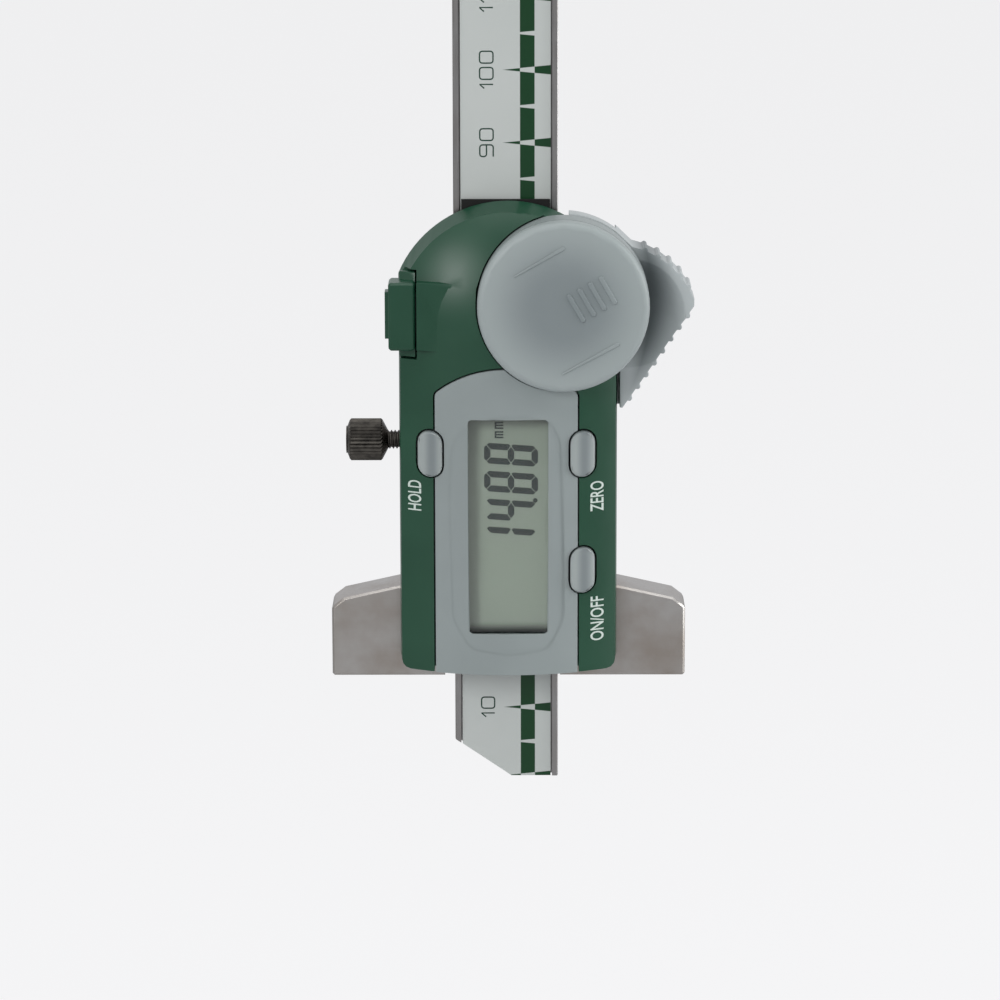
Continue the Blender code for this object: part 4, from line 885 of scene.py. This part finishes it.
def screw_set(first, others, body):
    """A screw with its recess, and copies of it at the other nodes' places."""
    low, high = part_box(first)
    middle = (low + high) / 2
    screw = from_node(first, f"steel_{first}", SCREW_STEEL, FINE_MERGE)
    cross_recess(screw, middle, high.y, (high.x - low.x) / 2 * RECESS_ARM)
    round_edges(screw, SCREW_EDGE, angle=40)
    settle(screw, body, "screw_steel", first)
    for node in others:
        copy = place_new(f"steel_{node}", screw.data.copy())
        copy.data.transform(Matrix.Translation(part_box(node)[0] - low))
        settle(copy, body, "screw_steel", node)


screw_set("housing_screw_left_lower",
          ["housing_screw_left_upper", "housing_screw_right_lower", "housing_screw_right_upper"], "slider")
screw_set("stop_screw_left", ["stop_screw_right"], "beam")

# %% [markdown]
# ## Numbers on the label
# The numbers are drawn with a thin even stroke in a squared, rounded form, and read from the beam's
# left. Each digit is one curve along its middle line. A round profile gives it a width, it is made a
# mesh once, flattened to the thickness of ink, and copied to each place where it is needed.

# %% Numbers on the label
DIGIT_WIDTH = 1.62 * MM
DIGIT_HEIGHT = 1.84 * MM
DIGIT_PITCH = 2.22 * MM
STROKE = 0.2 * MM
DIGIT_CORNER = 0.42 * MM
W, H = DIGIT_WIDTH, DIGIT_HEIGHT
DIGIT_LINES = {
    "0": [([(0, 0), (W, 0), (W, H), (0, H)], True)],
    "1": [([(0.0, 0.66 * H), (0.34 * W, H), (0.34 * W, 0)], False)],
    "2": [([(0, H), (W, H), (W, H / 2), (0, H / 2), (0, 0), (W, 0)], False)],
    "3": [([(0, H), (W, H), (W, 0), (0, 0)], False), ([(0.3 * W, H / 2), (W, H / 2)], False)],
    "4": [([(0.72 * W, 0), (0.72 * W, H), (0, 0.3 * H), (W, 0.3 * H)], False)],
    "5": [([(W, H), (0, H), (0, H / 2), (W, H / 2), (W, 0), (0, 0)], False)],
    "6": [([(W, H), (0, H), (0, 0), (W, 0), (W, H / 2), (0, H / 2)], False)],
    "7": [([(0, H), (W, H), (0.4 * W, 0)], False)],
    "8": [([(0, 0), (W, 0), (W, H), (0, H)], True), ([(0, H / 2), (W, H / 2)], False)],
    "9": [([(0, 0), (W, 0), (W, H), (0, H), (0, H / 2), (W, H / 2)], False)],
}


def digit_mesh(digit):
    """One digit as a mesh: its middle line with a round profile, made a mesh."""
    curve = bpy.data.curves.new(f"digit_{digit}", "CURVE")
    curve.dimensions = "3D"
    curve.bevel_depth = STROKE / 2
    curve.bevel_resolution = 0
    curve.use_fill_caps = True
    sharp = digit in "147"
    for points, closed in DIGIT_LINES[digit]:
        path = rounded(points, closed, 0.05 * MM if sharp else DIGIT_CORNER, 1 if sharp else 4)
        spline = curve.splines.new("POLY")
        spline.points.add(len(path) - 1)
        for target, place in zip(spline.points, path):
            target.co = (place.x, place.y, 0.0, 1.0)
        spline.use_cyclic_u = closed
    guide = place_new(f"digit_{digit}", curve)
    only(guide)
    bpy.ops.object.convert(target="MESH")
    mesh = guide.data
    bpy.data.objects.remove(guide)
    return mesh


DIGITS = {digit: digit_mesh(digit) for digit in DIGIT_LINES}
print("digits have", [len(mesh.vertices) for mesh in DIGITS.values()], "points")

# %% [markdown]
# A digit's own right becomes up along the beam, and its top becomes the left. The ink lies on the film,
# a few hundredths of a millimetre thick.

# %% Set the numbers
LABEL_FRONT_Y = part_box("scale_label")[0].y
DIGIT_FOOT_X = BEAM_MIDDLE_X - 1.68 * MM
INK_THICKNESS = 0.03 * MM
LAST_NUMBER = 210
NARROW_ONE = 0.56


def set_number(number):
    """The copies of digits that make one number, centred on its mark."""
    text = str(number)
    widths = [DIGIT_PITCH * (NARROW_ONE if digit == "1" else 1.0) for digit in text]
    start = TIP_Z + number * MM - (sum(widths) - (DIGIT_PITCH - DIGIT_WIDTH)) / 2
    made = []
    for digit, width in zip(text, widths):
        piece = place_new(f"number_{number}", DIGITS[digit].copy())
        flat = Matrix(((0, -1, 0, DIGIT_FOOT_X), (0, 0, INK_THICKNESS / STROKE, LABEL_FRONT_Y),
                       (1, 0, 0, start), (0, 0, 0, 1)))
        piece.data.transform(flat)
        made.append(piece)
        start += width
    return made


pieces = [piece for number in range(10, LAST_NUMBER + 1, 10) for piece in set_number(number)]
settle(face_outward(joined(pieces, "label_numbers", LABEL_INK)), "beam", "label_film")

# %% [markdown]
# ## Display segments
# A seven-segment digit is drawn with mitred bars that leave hairline gaps. Each bar is a thin plate with
# the bar's outline. The digits lean by four degrees, as on most such displays, and read upwards, so a
# digit's top is at the left. Plain bars make the unit's two letters.

# %% Display segments
SEGMENT_DIGIT = (2.9 * MM, 7.42 * MM)
SEGMENT_WIDTH = 0.88 * MM
SEGMENT_GAP = 0.12 * MM
LEAN = math.tan(math.radians(4.2))
DISPLAY_FOOT_X = 4.1 * MM
INK_BACK_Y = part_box("lcd_panel")[0].y - 0.01 * MM
INK_STEP = 0.02 * MM
LIT = {"1": "bc", "4": "bcfg", "8": "abcdefg"}
SHOWN = [("1", 19.92), ("4", 23.85), ("8", 27.78), ("8", 31.71)]
POINT_PLACE, POINT_RADIUS = (3.72 * MM, 26.45 * MM), 0.33 * MM
UNIT_STARTS, UNIT_LENGTH, LEG_PITCH = (35.2 * MM, 36.5 * MM), 1.0 * MM, 0.385 * MM
UNIT_TOP, UNIT_FOOT, UNIT_STROKE = -1.85 * MM, -0.65 * MM, 0.23 * MM


def segment_outline(letter):
    """The corners of one bar in a digit's own width and height, mirrored from the top and left bars."""
    w, h = SEGMENT_DIGIT
    t, g, m, c = SEGMENT_WIDTH, SEGMENT_GAP / 2, h / 2, SEGMENT_WIDTH * 0.34
    top = [(2 * c + g, h), (w - 2 * c - g, h), (w - c - g, h - c), (w - t - g, h - t), (t + g, h - t),
           (c + g, h - c)]
    left = [(0, h - 2 * c - g), (c, h - c - g), (t, h - t - g), (t, m + t / 2 + g), (t / 4, m + g),
            (0, m + t / 3)]
    middle = [(t / 3 + g, m), (t + g, m + t / 2), (w - t - g, m + t / 2), (w - t / 3 - g, m),
              (w - t - g, m - t / 2), (t + g, m - t / 2)]
    points = {"a": top, "d": top, "g": middle}.get(letter, left)
    if letter in "bc":
        points = [(w - x, y) for x, y in points]
    if letter in "cde":
        points = [(x, h - y) for x, y in points]
    return points


def rectangle(left, foot, right, top):
    return [(left, foot), (right, foot), (right, top), (left, top)]


def on_display(start_z, points):
    """A digit's own points as (X, Z), leaning, its right going up."""
    return [(DISPLAY_FOOT_X - y, start_z + x + (y - SEGMENT_DIGIT[1]) * LEAN) for x, y in points]


bars = []
for digit, start in SHOWN:
    for letter in LIT[digit]:
        outline = on_display(start * MM, segment_outline(letter))
        bars.append(plate(f"segment_{letter}", outline, INK_BACK_Y, INK_STEP))
turns = [2 * math.pi * step / 16 for step in range(16)]
point = [(POINT_PLACE[0] + POINT_RADIUS * math.cos(turn), POINT_PLACE[1] + POINT_RADIUS * math.sin(turn))
         for turn in turns]
bars.append(plate("decimal_point", point, INK_BACK_Y, INK_STEP))
for start in UNIT_STARTS:
    across = rectangle(UNIT_TOP, start, UNIT_TOP + UNIT_STROKE, start + UNIT_LENGTH)
    bars.append(plate("unit_bar", across, INK_BACK_Y, INK_STEP))
    for low in (start, start + LEG_PITCH, start + 2 * LEG_PITCH):
        leg = rectangle(UNIT_TOP + UNIT_STROKE, low, UNIT_FOOT, low + UNIT_STROKE)
        bars.append(plate("unit_leg", leg, INK_BACK_Y, INK_STEP))
settle(joined(bars, "display_segments", SEGMENT_INK), "slider", "lcd_glass")

# %% [markdown]
# ## Words by the keys
# The keys' names are pad-printed in white on the curved face. A text object gives the letters. It is
# made a mesh, turned so that it reads upwards, and then each of its points is set on the crown, a
# vertical cylinder with a radius of 27 mm.

# %% Words by the keys
PRINT_THICKNESS = 0.02 * MM
LETTER_WEIGHT = 0.012
SAME_POINT = 0.001 * MM
WORD_HEIGHT = 1.88 * MM
WORDS = {"HOLD": (-12.92, 24.93, 29.17), "ZERO": (12.25, 24.83, 29.07), "ON/OFF": (12.30, 6.46, 12.76)}


def print_word(word, middle_x, low_z, high_z):
    """A word on the crown, given the middle of its height and the Z where it starts and ends, in mm."""
    bpy.ops.object.select_all(action="DESELECT")
    bpy.ops.object.text_add()
    letters = VIEW.objects.active
    letters.data.body = word
    letters.data.extrude = PRINT_THICKNESS / 2
    letters.data.offset = LETTER_WEIGHT
    letters.data.resolution_u = 4
    bpy.ops.object.convert(target="MESH")
    points = letters.data.vertices
    left, right = (pick(point.co.x for point in points) for pick in (min, max))
    foot, top = (pick(point.co.y for point in points) for pick in (min, max))
    for point in points:
        along = (low_z + (high_z - low_z) * (point.co.x - left) / (right - left)) * MM
        across = middle_x * MM + WORD_HEIGHT * (0.5 - (point.co.y - foot) / (top - foot))
        surface = CROWN_AXIS_Y - math.sqrt(CROWN_RADIUS ** 2 - across ** 2)
        point.co = (across, surface - PRINT_THICKNESS - point.co.z, along)
    letters.name = f"word_{word.replace('/', '_').lower()}"
    in_edit(letters, bpy.ops.mesh.remove_doubles, threshold=SAME_POINT)
    return paint(face_outward(letters), PAD_PRINT)


for word, (middle_x, low_z, high_z) in WORDS.items():
    settle(print_word(word, middle_x, low_z, high_z), "slider", "green_abs")

# %% [markdown]
# ## Floor and light
# The gauge is shown over a plain pale floor. Two broad soft lamps from the left and the right and one
# from above light it as a product table does, and an even sky fills the shadows. The camera, and what
# metal and lens reflect, see the sky as the pale background.

# %% Floor
FLOOR_Z = -0.156
FLOOR_SIZE = 16.0
FLOOR_EVEN = 0.82
FLOOR_SEEN = "fdfdfe"


def make_floor():
    bpy.ops.object.select_all(action="DESELECT")
    bpy.ops.mesh.primitive_plane_add(size=FLOOR_SIZE, location=(0, 0, FLOOR_Z))
    floor = VIEW.objects.active
    floor.name = "floor"
    material, tree, place = start_finish("matt_pale_floor", 0.9)
    weave = add(tree, NOISE, {"Vector": place, "Scale": 1 / (40 * MM), "Detail": 2.0})
    tint = add(tree, MIX, {0: weave, 6: colour("e3e3e6"), 7: colour("e6e6e9")}, 2, data_type="RGBA")
    seen = add(tree, "ShaderNodeLightPath", {}, "Is Camera Ray")
    share = add(tree, MATHS, {0: seen, 1: FLOOR_EVEN}, operation="MULTIPLY")
    even = add(tree, "ShaderNodeEmission", {"Color": colour(FLOOR_SEEN), "Strength": 1.0})
    lit = add(tree, "ShaderNodeMixShader", {0: share, 1: tree.nodes["Principled BSDF"].outputs[0], 2: even})
    behind = add(tree, "ShaderNodeNewGeometry", {}, "Backfacing")
    clear = add(tree, "ShaderNodeBsdfTransparent", {})
    surface = add(tree, "ShaderNodeMixShader", {0: behind, 1: lit, 2: clear})
    tree.links.new(surface, tree.nodes["Material Output"].inputs["Surface"])
    paint(floor, feed(material, Base_Color=tint))
    return floor


print("floor at", make_floor().location.z, "m")

# %% Light
SKY_SEEN = "e6e6e9"
SKY_STRENGTH = 0.36
LAMPS = {
    "left_lamp": ((-0.58, -0.86, 0.46), (0.3, 0.4), 4.6),
    "right_lamp": ((0.95, -0.12, 0.25), (0.35, 0.8), 5.0),
    "top_lamp": ((0.05, -0.25, 1.0), (0.9, 0.7), 3.4),
}
LIT_POINT = Vector((0, 0, 0.03))


def make_light():
    world = bpy.data.worlds.new("studio")
    world.use_nodes = True
    SCENE.world = world
    tree = world.node_tree
    rays = tree.nodes.new("ShaderNodeLightPath")
    seen = add(tree, MATHS, {0: rays.outputs["Is Camera Ray"], 1: rays.outputs["Is Glossy Ray"]},
               operation="MAXIMUM")
    seen = add(tree, MATHS, {0: seen, 1: rays.outputs["Is Transmission Ray"]}, operation="MAXIMUM")
    sky = add(tree, "ShaderNodeBackground", {"Color": (1, 1, 1, 1), "Strength": SKY_STRENGTH})
    pale = add(tree, "ShaderNodeBackground", {"Color": colour(SKY_SEEN), "Strength": 1.0})
    both = add(tree, "ShaderNodeMixShader", {0: seen, 1: sky, 2: pale})
    tree.links.new(both, tree.nodes["World Output"].inputs["Surface"])
    for name, (place, size, power) in LAMPS.items():
        lamp = bpy.data.lights.new(name, "AREA")
        lamp.shape = "RECTANGLE"
        lamp.size, lamp.size_y = size
        lamp.energy = power
        holder = place_new(name, lamp)
        holder.location = place
        holder.rotation_euler = (LIT_POINT - Vector(place)).to_track_quat("-Z", "Y").to_euler()


make_light()
SCENE.view_settings.view_transform = "Standard"
print("lamps:", list(LAMPS))
